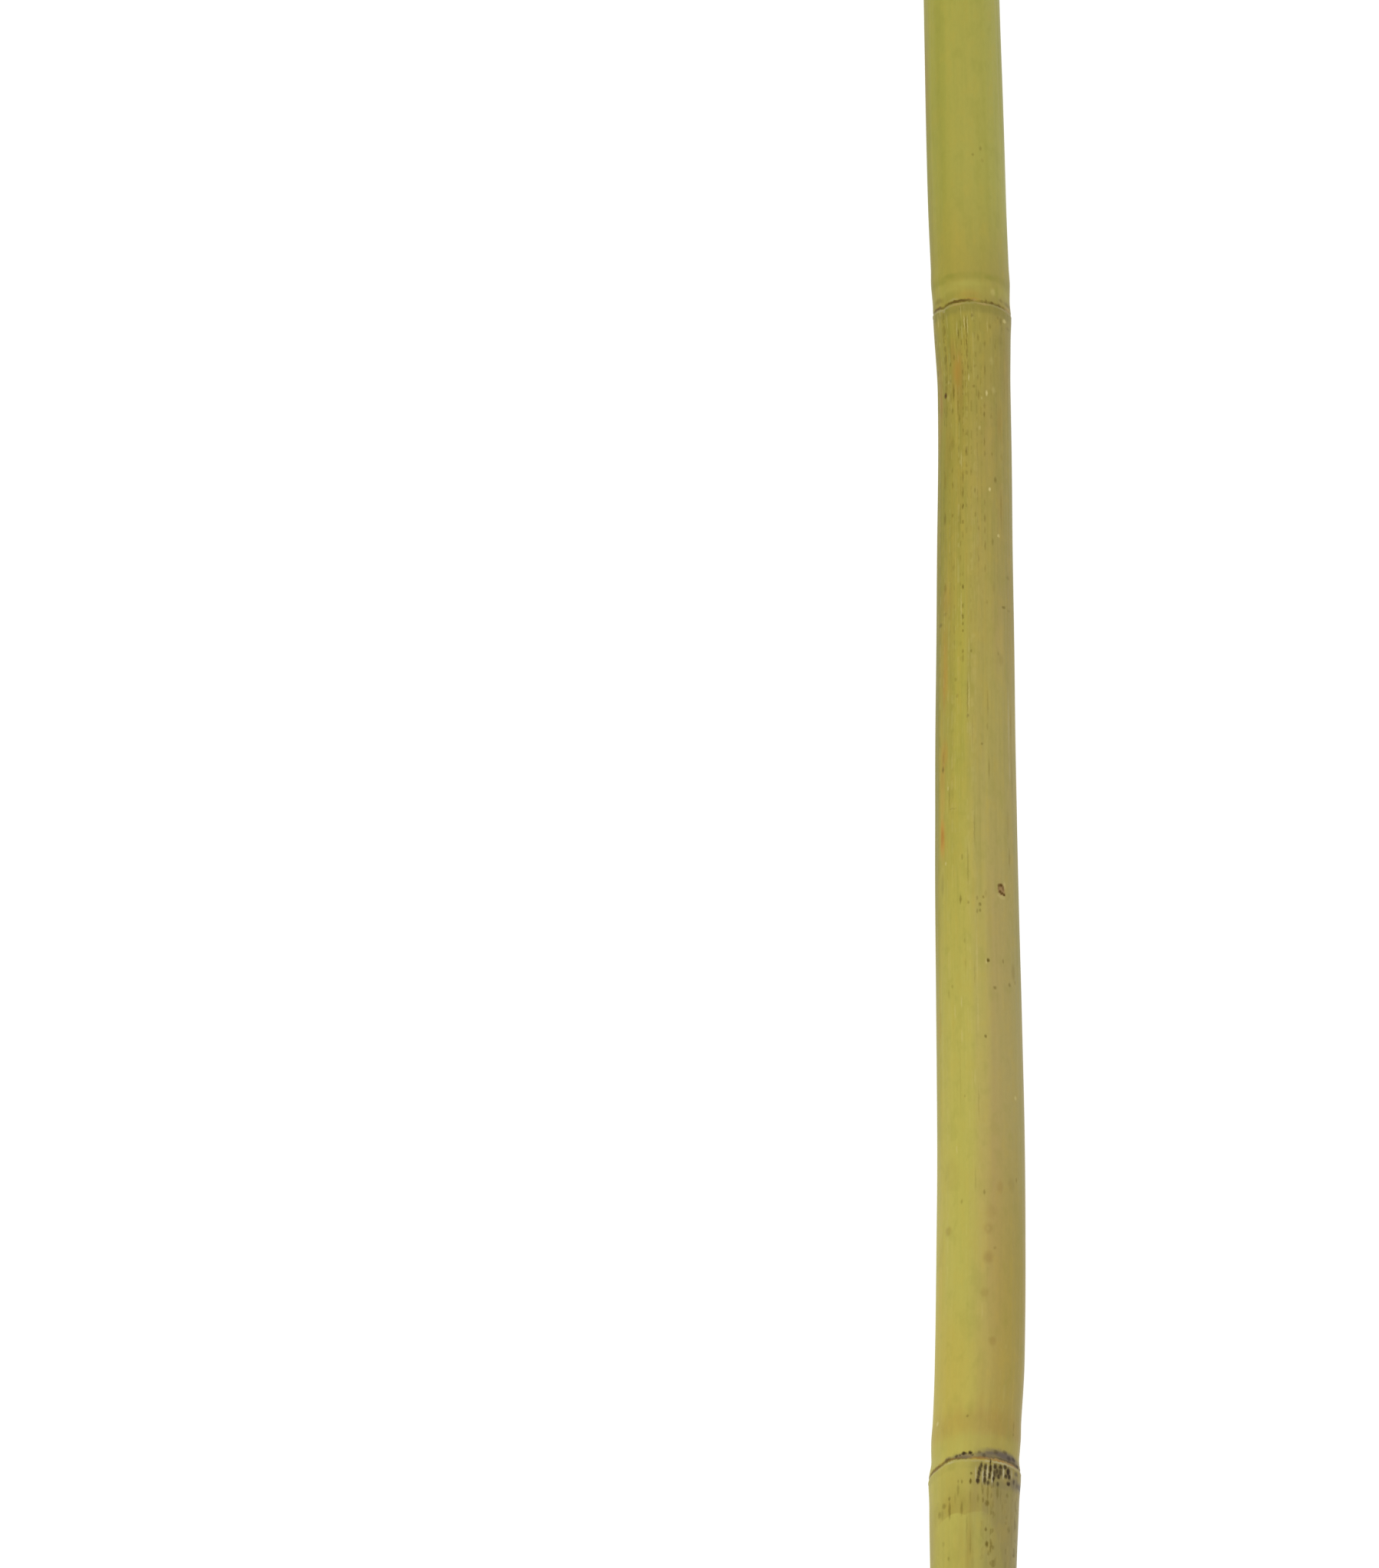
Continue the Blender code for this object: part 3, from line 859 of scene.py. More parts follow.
# Small marks on the skin by the colour that they take, with the same numbers as the washes
MARKS = {
    "haze": (
        (26, 99.3, 8, 0.9, 0.30), (44, 99.4, 7, 0.9, 0.26), (10, 99.0, 9, 1.1, 0.16),
        (58, 98.3, 13, 0.8, 0.42), (76, 98.35, 11, 0.55, 0.56), (30, 97.7, 26, 0.5, 0.16),
        (12, 94.5, 4, 0.9, 0.10), (24, 96.3, 8, 1.2, 0.05), (59, 99.5, 4, 0.35, 0.24),
    ),
    "spark": (
        (17, 257.8, 1.7, 0.4, 0.75), (-11, 260.2, 1.1, 0.5, 0.50), (21, 243.0, 1.8, 0.28, 0.85),
        (36, 236.1, 2.0, 0.25, 0.60), (-46, 198.1, 1.2, 0.35, 0.45), (-50, 187.1, 1.2, 0.25, 0.50),
        (50, 153.0, 2.0, 0.3, 0.40), (54, 269.65, 4.0, 0.26, 0.60), (32, 273.7, 4.0, 0.5, 0.20),
        (-10, 268.3, 0.8, 1.3, 0.42), (-14.8, 268.7, 0.8, 0.9, 0.50), (-26.5, 268.1, 0.8, 1.0, 0.25),
        (-27, 166.5, 0.9, 0.7, 0.32), (-66, 107.0, 3.0, 0.3, 0.50), (-36.5, 145.5, 0.9, 0.5, 0.30),
        (-12, 219.0, 0.8, 1.0, 0.24), (-12, 211.6, 0.8, 2.4, 0.34), (-11, 206.5, 0.8, 1.2, 0.22),
        (-37, 165.2, 1.2, 0.9, 0.22), (-27, 161.6, 1.2, 0.9, 0.20), (-4.5, 173, 0.9, 3.5, 0.18),
        (-4.5, 165, 0.9, 2.5, 0.14), (-24, 225, 1.0, 2.2, 0.30), (-24, 247.5, 1.0, 1.2, 0.30),
        (29, 258.4, 3.0, 0.5, 0.20), (26, 262.8, 3.0, 0.6, 0.14), (8.5, 257.0, 1.4, 0.2, 0.28),
        (5, 252.4, 1.8, 0.3, 0.26), (20, 268.2, 1.0, 0.9, 0.22), (-48, 257.6, 2.0, 0.5, 0.16),
        (-47, 260.0, 2.2, 0.25, 0.20), (-26, 247.3, 1.6, 0.3, 0.20), (8, 172.3, 1.2, 0.35, 0.40),
        (-1, 122.5, 0.8, 0.9, 0.16), (-10, 155.5, 0.9, 1.0, 0.20),
    ),
    # The cream spots at stations 97.6 to 99.9, between the mould spots, are painted highlights
    "cream": (
        (13, 99.1, 1.1, 0.9, 0.75), (7.3, 98.5, 1.2, 0.9, 0.55), (19.7, 98.4, 1.0, 0.8, 0.80),
        (35.5, 99.4, 1.3, 0.8, 0.70), (-1.5, 98.8, 0.8, 0.9, 0.50), (20.5, 99.9, 1.0, 0.4, 0.40),
        (50, 99.4, 1.6, 0.6, 0.30), (13, 97.6, 0.8, 0.5, 0.15), (53, 208.0, 1.8, 4.5, 0.22),
        (54, 201.0, 1.8, 1.6, 0.18),
    ),
    "bark": (
        (7, 295.0, 1.6, 0.25, 0.34), (19, 296.1, 2.0, 0.3, 0.30), (21, 294.2, 2.5, 0.3, 0.14),
        (-3, 269.7, 1.8, 0.25, 0.42), (-12.5, 268.1, 1.1, 1.3, 0.42), (-13, 265.7, 1.0, 0.6, 0.58),
        (-13, 263.9, 1.1, 0.7, 0.46), (-25, 267.1, 1.3, 0.65, 0.56), (12.5, 236.6, 1.4, 0.5, 0.24),
        (12.5, 230.8, 1.5, 0.5, 0.24), (12.5, 241.0, 1.3, 0.5, 0.20), (2.5, 232.2, 1.2, 0.5, 0.26),
        (-2.5, 242.7, 1.3, 0.4, 0.34), (-2, 239.0, 1.2, 0.4, 0.30), (3, 236.9, 1.2, 0.3, 0.26),
        (26, 228.0, 2.0, 0.8, 0.16), (15, 225.7, 1.5, 0.3, 0.20), (-41.5, 262.6, 1.3, 0.3, 0.46),
        (-34.5, 263.6, 1.6, 0.4, 0.34), (-50, 263.5, 1.6, 1.6, 0.26), (-20, 261.2, 1.4, 1.0, 0.12),
        (-37, 258.2, 1.8, 1.1, 0.54), (14.3, 261.4, 1.5, 0.7, 0.32), (-52, 260.2, 2.5, 0.2, 0.22),
        (-39.5, 255.4, 2.0, 0.45, 0.38), (-42, 260.1, 1.3, 0.25, 0.36), (-53, 259.4, 1.6, 0.5, 0.20),
        (-42, 257.5, 1.8, 0.8, 0.20), (-39.5, 250.4, 3.4, 0.9, 0.24), (-28.5, 249.3, 1.2, 0.5, 0.26),
        (-40, 246.2, 1.5, 0.4, 0.24), (-51.5, 262.4, 1.4, 0.35, 0.26), (-49.5, 264.6, 1.4, 0.4, 0.20),
        (-27, 254.0, 1.6, 0.6, 0.34), (12.5, 254.5, 1.3, 0.4, 0.46), (12.5, 250.2, 1.2, 0.6, 0.36),
        (-21, 252.1, 1.2, 0.25, 0.34), (-16.3, 248.8, 1.2, 0.4, 0.44), (-55, 244.8, 2.4, 1.1, 0.28),
        (-55, 239.1, 2.2, 0.9, 0.42), (-39, 243.9, 1.4, 0.5, 0.36), (-39, 239.2, 1.4, 0.3, 0.36),
        (31, 244.6, 2.2, 0.42, 0.44), (-66, 223.1, 5, 0.3, 0.46), (45, 225.35, 3.8, 0.2, 0.55),
        (57, 225.1, 4, 0.2, 0.22), (57, 230.1, 4, 0.3, 0.26), (-54, 224.5, 4, 0.25, 0.24),
        (-9, 218.3, 1.5, 0.2, 0.40), (33, 218.1, 1.5, 0.3, 0.26), (58.5, 208.0, 1.8, 2.2, 0.18),
        (-57, 201.2, 2.4, 0.45, 0.60), (-56, 202.8, 2.4, 0.9, 0.24), (-58, 191.1, 3.4, 1.2, 0.20),
        (6, 204.3, 1.4, 0.2, 0.42), (16, 200.7, 1.3, 1.3, 0.26), (60, 200.5, 1.8, 2.5, 0.14),
        (-43.5, 196.6, 0.9, 1.5, 0.32), (-5.5, 191.8, 0.9, 2.0, 0.24), (-15, 186.5, 1.2, 3.0, 0.22),
        (-23, 187.7, 1.4, 0.4, 0.32), (49, 187.9, 1.8, 1.3, 0.26), (47, 193.0, 3.0, 2.0, 0.14),
        (-26, 181.5, 1.4, 0.6, 0.48), (-15, 180.9, 1.4, 0.2, 0.34), (-3, 181.5, 1.4, 0.3, 0.28),
        (1, 179.7, 1.6, 0.25, 0.42), (10.5, 172.45, 2.0, 0.28, 0.95), (32.5, 172.5, 1.5, 0.3, 0.34),
        (19, 168.5, 2.2, 0.22, 0.48), (43, 169.2, 2.2, 0.28, 0.44), (-41, 169.0, 1.5, 0.2, 0.24),
        (52, 171.2, 4.5, 1.1, 0.22), (56, 169.8, 2.5, 0.3, 0.24), (-8, 170.5, 0.8, 1.5, 0.16),
        (5, 161.45, 1.6, 0.24, 0.62), (-24, 153.0, 1.3, 0.2, 0.24), (-29, 138.0, 1.4, 0.3, 0.28),
        (1, 139.2, 1.4, 0.35, 0.38), (15, 131.4, 1.8, 0.2, 0.24), (-15, 107.1, 1.5, 0.2, 0.40),
        (53, 106.2, 1.6, 0.7, 0.26), (53, 105.1, 1.8, 0.2, 0.30), (13, 91.8, 1.6, 0.25, 0.62),
        (14.5, 89.9, 2.0, 0.35, 0.80), (21, 89.9, 1.6, 0.4, 0.42), (17, 88.8, 1.5, 0.3, 0.34),
        (49, 92.1, 2.5, 0.4, 0.32), (-38, 88.2, 1.6, 0.25, 0.34), (65, 89.0, 5, 0.15, 0.46),
        (-36, 94.4, 1.9, 1.0, 0.50), (-45, 95.1, 3.2, 0.35, 0.40), (-53, 94.1, 3.0, 0.4, 0.34),
        (-19, 94.5, 1.8, 0.8, 0.42), (-24, 96.9, 1.6, 0.7, 0.30), (-36.5, 95.9, 1.6, 0.25, 0.48),
        (14, 95.1, 2.6, 0.35, 0.64), (8.5, 95.5, 1.4, 0.35, 0.48), (2, 95.7, 1.4, 0.5, 0.28),
        (8, 96.6, 1.2, 0.4, 0.42), (28, 96.6, 1.6, 0.8, 0.40), (44, 96.4, 2.4, 0.25, 0.32),
        (14.5, 96.6, 1.6, 1.0, 0.38), (-7.8, 97.9, 1.5, 0.35, 0.92), (-7.2, 98.9, 1.3, 0.2, 0.68),
        (-19, 97.9, 1.3, 0.25, 0.46), (-24, 98.0, 1.2, 0.2, 0.34), (1, 180.6, 1.8, 0.22, 0.52),
        (5.5, 181.7, 1.5, 0.22, 0.42), (-3, 179.6, 1.2, 0.3, 0.34), (9, 182.2, 1.8, 0.5, 0.14),
        (-57, 184.2, 3.0, 1.6, 0.20), (-47, 168.0, 1.2, 0.6, 0.20), (-21, 175.4, 1.4, 0.3, 0.22),
        (-20, 172.0, 1.0, 0.8, 0.16), (-14.5, 211.5, 0.9, 2.6, 0.32), (-14, 208.6, 1.6, 0.3, 0.42),
        (-7, 206.0, 0.9, 2.2, 0.18), (-30, 211.7, 2.0, 0.3, 0.26), (-33, 214.2, 1.8, 0.3, 0.26),
        (-38, 195.0, 6.0, 0.12, 0.20), (15, 210.5, 1.3, 1.8, 0.22), (14, 207.0, 1.2, 0.5, 0.20),
        (38, 217.3, 4.0, 0.8, 0.14), (-54, 228.4, 2.4, 0.6, 0.30), (-37, 231.2, 3.0, 0.35, 0.18),
        (-27, 238.5, 1.2, 1.6, 0.18), (12.5, 238.5, 1.6, 0.6, 0.34), (12.7, 234.3, 1.6, 0.7, 0.30),
        (42, 240.5, 1.8, 2.0, 0.20), (25, 235.0, 1.8, 0.5, 0.28), (-12, 257.0, 1.0, 1.0, 0.16),
        (-55, 256.5, 4.0, 2.8, 0.14), (3.8, 257.5, 1.5, 0.6, 0.36), (-12, 261.8, 1.2, 0.4, 0.32),
        (33, 265.2, 1.4, 0.4, 0.26), (24.5, 268.2, 2.0, 0.3, 0.28), (5, 266.3, 1.5, 0.5, 0.34),
        (15, 265.4, 1.6, 0.4, 0.28), (-2, 261.9, 1.4, 0.25, 0.26), (-7, 261.3, 1.0, 0.5, 0.28),
        (3, 260.2, 1.2, 0.4, 0.24), (-3.5, 258.8, 2.0, 0.25, 0.38), (13, 255.8, 1.6, 0.4, 0.28),
        (13, 248.4, 1.5, 0.4, 0.28), (25, 248.5, 1.3, 0.25, 0.28), (24, 254.2, 2.6, 0.3, 0.18),
        (44, 248.3, 3.0, 0.5, 0.16), (-8.5, 245.6, 1.2, 0.6, 0.24), (44, 266.4, 5.0, 0.8, 0.14),
        (45, 269.4, 3.0, 0.5, 0.34), (39, 269.8, 2.0, 0.25, 0.26), (48, 268.3, 1.8, 0.6, 0.22),
        (66, 268.8, 7.0, 0.25, 0.26), (-48, 268.0, 1.6, 0.4, 0.22), (40, 140.5, 5.5, 0.9, 0.14),
        (50, 141.3, 1.6, 0.3, 0.28), (-30, 155.0, 0.9, 4.0, 0.12), (-5.5, 152.0, 0.9, 2.0, 0.16),
        (-10.5, 141.0, 0.9, 1.5, 0.16), (-28, 95.8, 1.2, 0.6, 0.16), (-48, 94.0, 2.0, 0.6, 0.20),
        (-8, 96.0, 1.2, 0.7, 0.20), (22, 95.0, 1.4, 0.6, 0.24), (33, 96.2, 1.2, 0.8, 0.22),
        (36, 94.8, 1.4, 0.5, 0.18), (-12, 92.0, 1.0, 1.6, 0.20), (-7, 90.0, 1.0, 1.4, 0.22),
        (20, 89.4, 1.2, 0.8, 0.24), (-46, 90.2, 2.0, 0.3, 0.16), (21, 97.6, 1.2, 0.3, 0.30),
        (7, 97.4, 1.2, 0.5, 0.26),
    ),
    "scar_line": ((-54, 258.1, 3.0, 0.42, 1.0),),
    "mould": (
        (25.0, 98.8, 1.6, 0.30, 0.45), (5.0, 100.0, 2.1, 0.42, 0.84), (3.6, 99.5, 1.9, 0.50, 0.84),
        (2.4, 98.9, 2.0, 0.48, 0.86), (1.9, 98.4, 1.9, 0.40, 0.76), (1.4, 97.95, 2.4, 0.40, 0.92),
        (10.5, 99.75, 2.0, 0.46, 0.84), (9.8, 98.9, 1.7, 0.55, 0.80), (10.1, 98.1, 2.0, 0.52, 0.84),
        (16.7, 100.5, 1.1, 0.45, 0.88), (16.8, 99.6, 1.8, 0.75, 0.95), (16.2, 98.7, 1.7, 0.50, 0.90),
        (14.4, 97.75, 2.0, 0.32, 0.72), (23.0, 99.95, 2.6, 0.34, 0.84), (25.8, 99.35, 2.6, 0.42, 0.72),
        (22.4, 99.0, 1.9, 0.55, 0.72), (21.7, 98.3, 1.6, 0.42, 0.90), (30.8, 99.95, 2.8, 0.32, 0.84),
        (30.8, 99.25, 2.5, 0.55, 0.72), (28.4, 98.7, 2.2, 0.38, 0.80), (37.8, 100.1, 2.9, 0.32, 0.84),
        (43.2, 99.6, 2.9, 0.56, 0.96), (45.2, 99.0, 2.6, 0.40, 0.88), (39.6, 98.95, 2.5, 0.30, 0.84),
        (44.8, 98.03, 3.2, 0.30, 0.90), (27.8, 97.7, 2.0, 0.28, 0.62), (55.3, 98.55, 2.4, 0.36, 0.62),
        (61, 99.75, 4.5, 0.30, 0.46), (72, 98.3, 9.0, 0.32, 0.36), (-27.6, 101.48, 2.2, 0.18, 0.66),
        (-22.8, 101.58, 1.6, 0.15, 0.52), (-17.4, 101.76, 3.3, 0.24, 0.92),
        (-9.3, 101.78, 2.6, 0.26, 0.95), (-6.4, 101.5, 1.8, 0.16, 0.52), (2.5, 101.82, 2.2, 0.20, 0.36),
        (8.4, 101.4, 2.2, 0.26, 0.44), (25, 102.0, 3.2, 0.28, 0.42), (39, 102.22, 3.4, 0.24, 0.40),
        (46, 101.5, 4.0, 0.30, 0.50), (56, 101.6, 4.0, 0.30, 0.75), (66, 100.95, 4.0, 0.25, 0.46),
    ),
}

# Rows of dots along one line: its angle, then station, half length and strength of each dot
DOTTED_LINE = -21.2
DOTTED_HALF_ANGLE = 1.3
DOTS = (
    (244.9, 0.9, 0.42), (242.6, 0.8, 0.46), (240.4, 0.4, 0.68), (238.0, 0.3, 0.46),
    (236.0, 0.6, 0.22), (230.0, 0.3, 0.20), (228.1, 0.35, 0.74), (225.2, 0.4, 0.42),
    (223.6, 0.4, 0.58), (222.5, 0.25, 0.48), (221.4, 0.22, 0.52), (218.3, 0.3, 0.40),
    (217.3, 0.6, 0.30),
)

# Bands that run round each node: height above the scar, half height and strength
SCAR_BANDS = (
    {
        "fresh": (2.1, 1.2, 0.28), "rust": (5.2, 1.5, 0.12), "shade": (-0.9, 0.55, 0.16),
        "cream": (-0.38, 0.17, 0.20), "scar_line": (0.0, 0.22, 0.45),
    },
    {
        # The olive band 3.9 mm above the upper scar, and the olive marks 3.6 to 4.1 mm above it, are
        # painted shade by the node's ridge
        "fresh": (2.3, 1.1, 0.26), "olive": (3.9, 0.50, 0.26), "shade": (-0.95, 0.80, 0.42),
        "cream": (-0.38, 0.15, 0.12), "scar_line": (0.0, 0.21, 0.36),
    },
)

# Marks that follow each node's scar: angle, height above it, half angle, half height, strength
SCAR_MARKS = (
    {
        "ember": (
            (5, 0.03, 16, 0.11, 0.30), (-30, 0.0, 10, 0.11, 0.24), (30, -0.14, 11, 0.10, 0.36),
            (52, -0.14, 9, 0.10, 0.40), (3, -0.16, 12, 0.12, 0.22), (-62, -0.05, 14, 0.16, 0.16),
        ),
        "gold": ((2, -0.22, 15, 0.13, 0.30), (-50, 0.35, 8, 0.2, 0.20)),
        "russet": ((-60, 0.10, 22, 0.26, 0.30), (-34, 0.06, 8, 0.16, 0.30)),
        "rose": (
            (-16, 0.24, 13, 0.26, 0.34), (24, -0.02, 10, 0.12, 0.40), (44, -0.06, 8, 0.10, 0.40),
            (-42, 0.34, 5, 0.16, 0.20),
        ),
        "cream": ((36, -0.42, 17, 0.13, 0.42), (13, -0.40, 3, 0.14, 0.35), (-36, -0.45, 4, 0.12, 0.30)),
        "haze": (
            (-18, 0.22, 15, 0.36, 0.60), (-41, 0.26, 5, 0.28, 0.42), (12, 0.45, 15, 0.45, 0.66),
            (40, 0.72, 26, 0.62, 0.80), (26, 0.95, 20, 0.50, 0.50), (50, 0.1, 18, 0.2, 0.35),
            (17, 0.75, 10, 0.38, 0.74),
        ),
        "scar_line": ((-60, 0.0, 24, 0.26, 0.46), (-41, 0.10, 5, 0.28, 0.62), (-26, -0.04, 8, 0.14, 0.34)),
        "mould": ((40, 0.16, 20, 0.13, 0.34), (60, 0.22, 10, 0.2, 0.60)),
    },
    {
        "ember": ((-5, 1.1, 13, 0.55, 0.10), (-2, 0.35, 10, 0.2, 0.18)),
        "fresh": (
            (-8, 2.7, 22, 0.42, 0.36), (-32, 2.2, 12, 0.35, 0.22), (32, 1.8, 4.5, 0.4, 0.26),
            (56, 2.4, 14, 0.5, 0.22),
        ),
        "cream": ((-31, 0.5, 7, 0.16, 0.18), (-55, -0.48, 15, 0.15, 0.22), (-48, -0.66, 3, 0.2, 0.22)),
        "olive": (
            (-60, 3.6, 16, 0.42, 0.24), (-35, 4.1, 9, 0.35, 0.26), (28, 3.8, 8, 0.3, 0.30),
            (39, 1.9, 3.5, 0.8, 0.24), (-43, -0.85, 3, 0.2, 0.50), (-36, 1.3, 13, 0.5, 0.16),
        ),
        "rose": (
            (-25, -0.44, 9, 0.12, 0.45), (14, -0.42, 9, 0.15, 0.42), (47, -0.32, 6, 0.15, 0.12),
            (66, 0.1, 8, 0.4, 0.42), (2, 0.1, 3, 0.15, 0.55),
        ),
        "bark": ((-60, 1.15, 10, 0.38, 0.36), (47, 0.95, 4.5, 0.24, 0.36), (66, 0.9, 10, 0.34, 0.40)),
        "scar_line": (
            (-24, 0.08, 20, 0.22, 0.78), (-62, 0.0, 16, 0.24, 0.64), (-32, 0.02, 3, 0.18, 0.46),
            (29, -0.02, 3.5, 0.18, 0.60), (19, 0.08, 2, 0.34, 0.40), (42, -0.02, 5, 0.16, 0.34),
        ),
        "gold": ((7, 0.05, 4, 0.2, 0.24),),
    },
)

# Soft round stains: angle, station, half angle, half length, strength, share left clear
STAINS = (
    (-51, 134.1, 5.6, 0.60, 0.26, 0.0), (6, 134.1, 6.0, 0.75, 0.17, 0.4),
    (6, 130.0, 6.0, 0.80, 0.24, 0.0), (2, 125.0, 5.0, 0.60, 0.17, 0.0),
    (-46, 142.0, 13, 2.2, 0.09, 0.3), (13, 118.2, 4.6, 0.60, 0.20, 0.0),
    (22, 140.0, 4, 0.8, 0.17, 0.0), (10, 136.5, 7, 0.9, 0.09, 0.0),
)

# The tilted oval scar: its pale surround, its middle, and the two dark arcs of its rim
EYE_HALO = ((31.5, 182.1, 5.0, 0.30, 0.28), (38.0, 183.6, 2.5, 0.50, 0.28), (35, 181.8, 4, 0.25, 0.20))
EYE_MIDDLE = ((32.6, 183.02, 5.6, 0.84, 0.88), (35.8, 182.5, 3.5, 0.45, 0.60))
EYE_RIM = (
    (29.3, 183.54, 2.6, 0.26, 0.74), (32.4, 183.62, 2.8, 0.24, 0.92), (35.6, 183.25, 1.6, 0.36, 0.58),
    (30.6, 182.62, 2.3, 0.24, 0.86), (33.8, 182.42, 2.5, 0.22, 0.88), (37.2, 182.28, 2.1, 0.22, 0.92),
    (28.0, 183.1, 1.3, 0.35, 0.34),
)


# Ground colours of the bright and of the shaded side: the first one, then the stretches of
# stations over which it turns to the next
BRIGHT_SIDE = ("straw", (140, 256, "olive_straw"), (266, 296, "leaf"))
SHADED_SIDE = (
    "umber", (97, 103, "fawn"), (126, 156, "tan"), (192, 266, "drab"), (270, 292, "sage"),
)

# Strengths that change along the cane: (station, strength) levels
BORDER_SLANT, BORDER_WIDTH = ((225, 0.02), (300, 0.60)), ((195, 0.40), (250, 0.80))
STREAK_LEVELS = ((150, 0.06), (205, 0.17), (262, 0.19), (274, 0.07))
FIBRE_LEVELS = ((165, 0.07), (205, 0.19), (268, 0.22), (274, 0.05))
END_LEVELS = ((82, 1.0), (88, 0.0), (322, 0.0), (328, 1.0))

# Changes of strength across the cane, from 1 at its right edge to -1 at its left one: the two
# places that a change lies between, and the strength at each
STREAKS_TO_LEFT, DASHES_TO_LEFT = (0.5, -0.34, 0.55, 1.0), (0.3, -0.4, 0.24, 1.0)
DASHES_TO_RIGHT = (0.0, 0.45, 0.12, 1.0)

# Stations between which the dashes change sides, and angles at which the unseen back starts
DASHES_CHANGE, BACK_STARTS = (130.0, 110.0), (76.0, 92.0)

# Softness of what is laid: 0 has a hard edge, and near 1 it fades from its middle
WASH_SOFT, PRINT_SOFT, BROWNED_SOFT, SCAR_SOFT = 0.9, 0.05, 0.7, 0.7
MARK_SOFT, CLEAR_SOFT, EYE_SOFT = 0.6, 0.8, 0.35
PRINT_STRENGTH = 0.16

# A stain's clear middle takes this share of its colour away
CLEAR_STRENGTH = 0.6

# How far the broad fibres shift the border between the two sides
BORDER_RAGGED = 0.3

# Light and dark fibres: shares of the fine, medium and broad ones, their mean together, the
# skin's mean level, and what speckle adds to it
FIBRE_SHARES, FIBRE_MEAN = (0.3, 0.4, 0.36), 0.53
SKIN_LEVEL, SPECKLE_LEVEL = 0.984, 0.032

# A band by a scar fades out between these shares of its half height. Its strength goes from
# the weakest share to the whole while the ragged noise goes from one level to the other.
BAND_FADES, BAND_WEAKEST, BAND_RAGGED = (1.6, 0.4), 0.45, (0.0, 0.9)

# Roughness of the skin: the least, and what the broad fibres add
SKIN_ROUGHNESS, ROUGHNESS_SPREAD = 0.40, 0.12

# Streaks and fibres of the skin: pitch and run of the noise in mm, and its detail
FINE, MEDIUM, BROAD = (0.45, 16.0, 3.0), (0.9, 26.0, 2.0), (1.9, 60.0, 2.0)
NARROW_STREAKS, WIDE_STREAKS = (0.5, 9.0, 3.0), (1.4, 24.0, 2.0)
MOTTLE, SPECKLE, RAGGED = (1.6, 3.0, 3.0), (0.5, 0.8, 2.0), (1.2, 3.0, 2.0)

# Lines on the skin and the breaks in them: run or pitch in mm, and the noise levels between
# which they come up
LINE_RUN, LINE_COMES = 60.0, (0.56, 0.86)
BREAK_PITCH, BREAK_COMES = 1.1, (0.46, 0.74)

# Dashes and scratches: their colour, pitch and run in mm, and strength levels
DASHES = (
    ("bark", 0.34, 1.1, (
        (86, 0.44), (97, 0.44), (101, 0.0), (150, 0.0), (165, 0.06), (212, 0.06),
        (226, 0.17), (240, 0.28), (262, 0.44), (271, 0.34), (271.5, 0.0),
    )),
    ("spark", 0.24, 1.9, (
        (140, 0.07), (185, 0.09), (210, 0.14), (262, 0.22), (271, 0.30), (271.5, 0.0),
    )),
)

# How the edges of what is laid wander: pitch and run of the noise in mm, then how far it
# pushes, in degrees and in mm
WASH_EDGE, PRINT_EDGE = (0.9, 12.0, 9.0, 6.0), (2.2, 4.0, 4.0, 0.9)
SCAR_EDGE, MARK_EDGE = (0.36, 0.45, 3.0, 0.40), (0.30, 0.45, 2.2, 0.34)

# Scattered flecks: colour, half size, sparseness, share of the cells, offset and strength.
# A degree round the cane is about this many mm.
MM_PER_DEGREE = 0.1
FLECKS = (
    ("bark", (0.12, 0.75, 1.0), 6.0, 0.05, (3.0, 11.0, 0.0), 0.6),
    ("bark", (0.20, 0.24, 1.0), 9.0, 0.10, (40.0, 5.0, 0.0), 0.8),
    ("spark", (0.22, 0.34, 1.0), 14.0, 0.14, (70.0, 3.0, 0.0), 0.5),
)


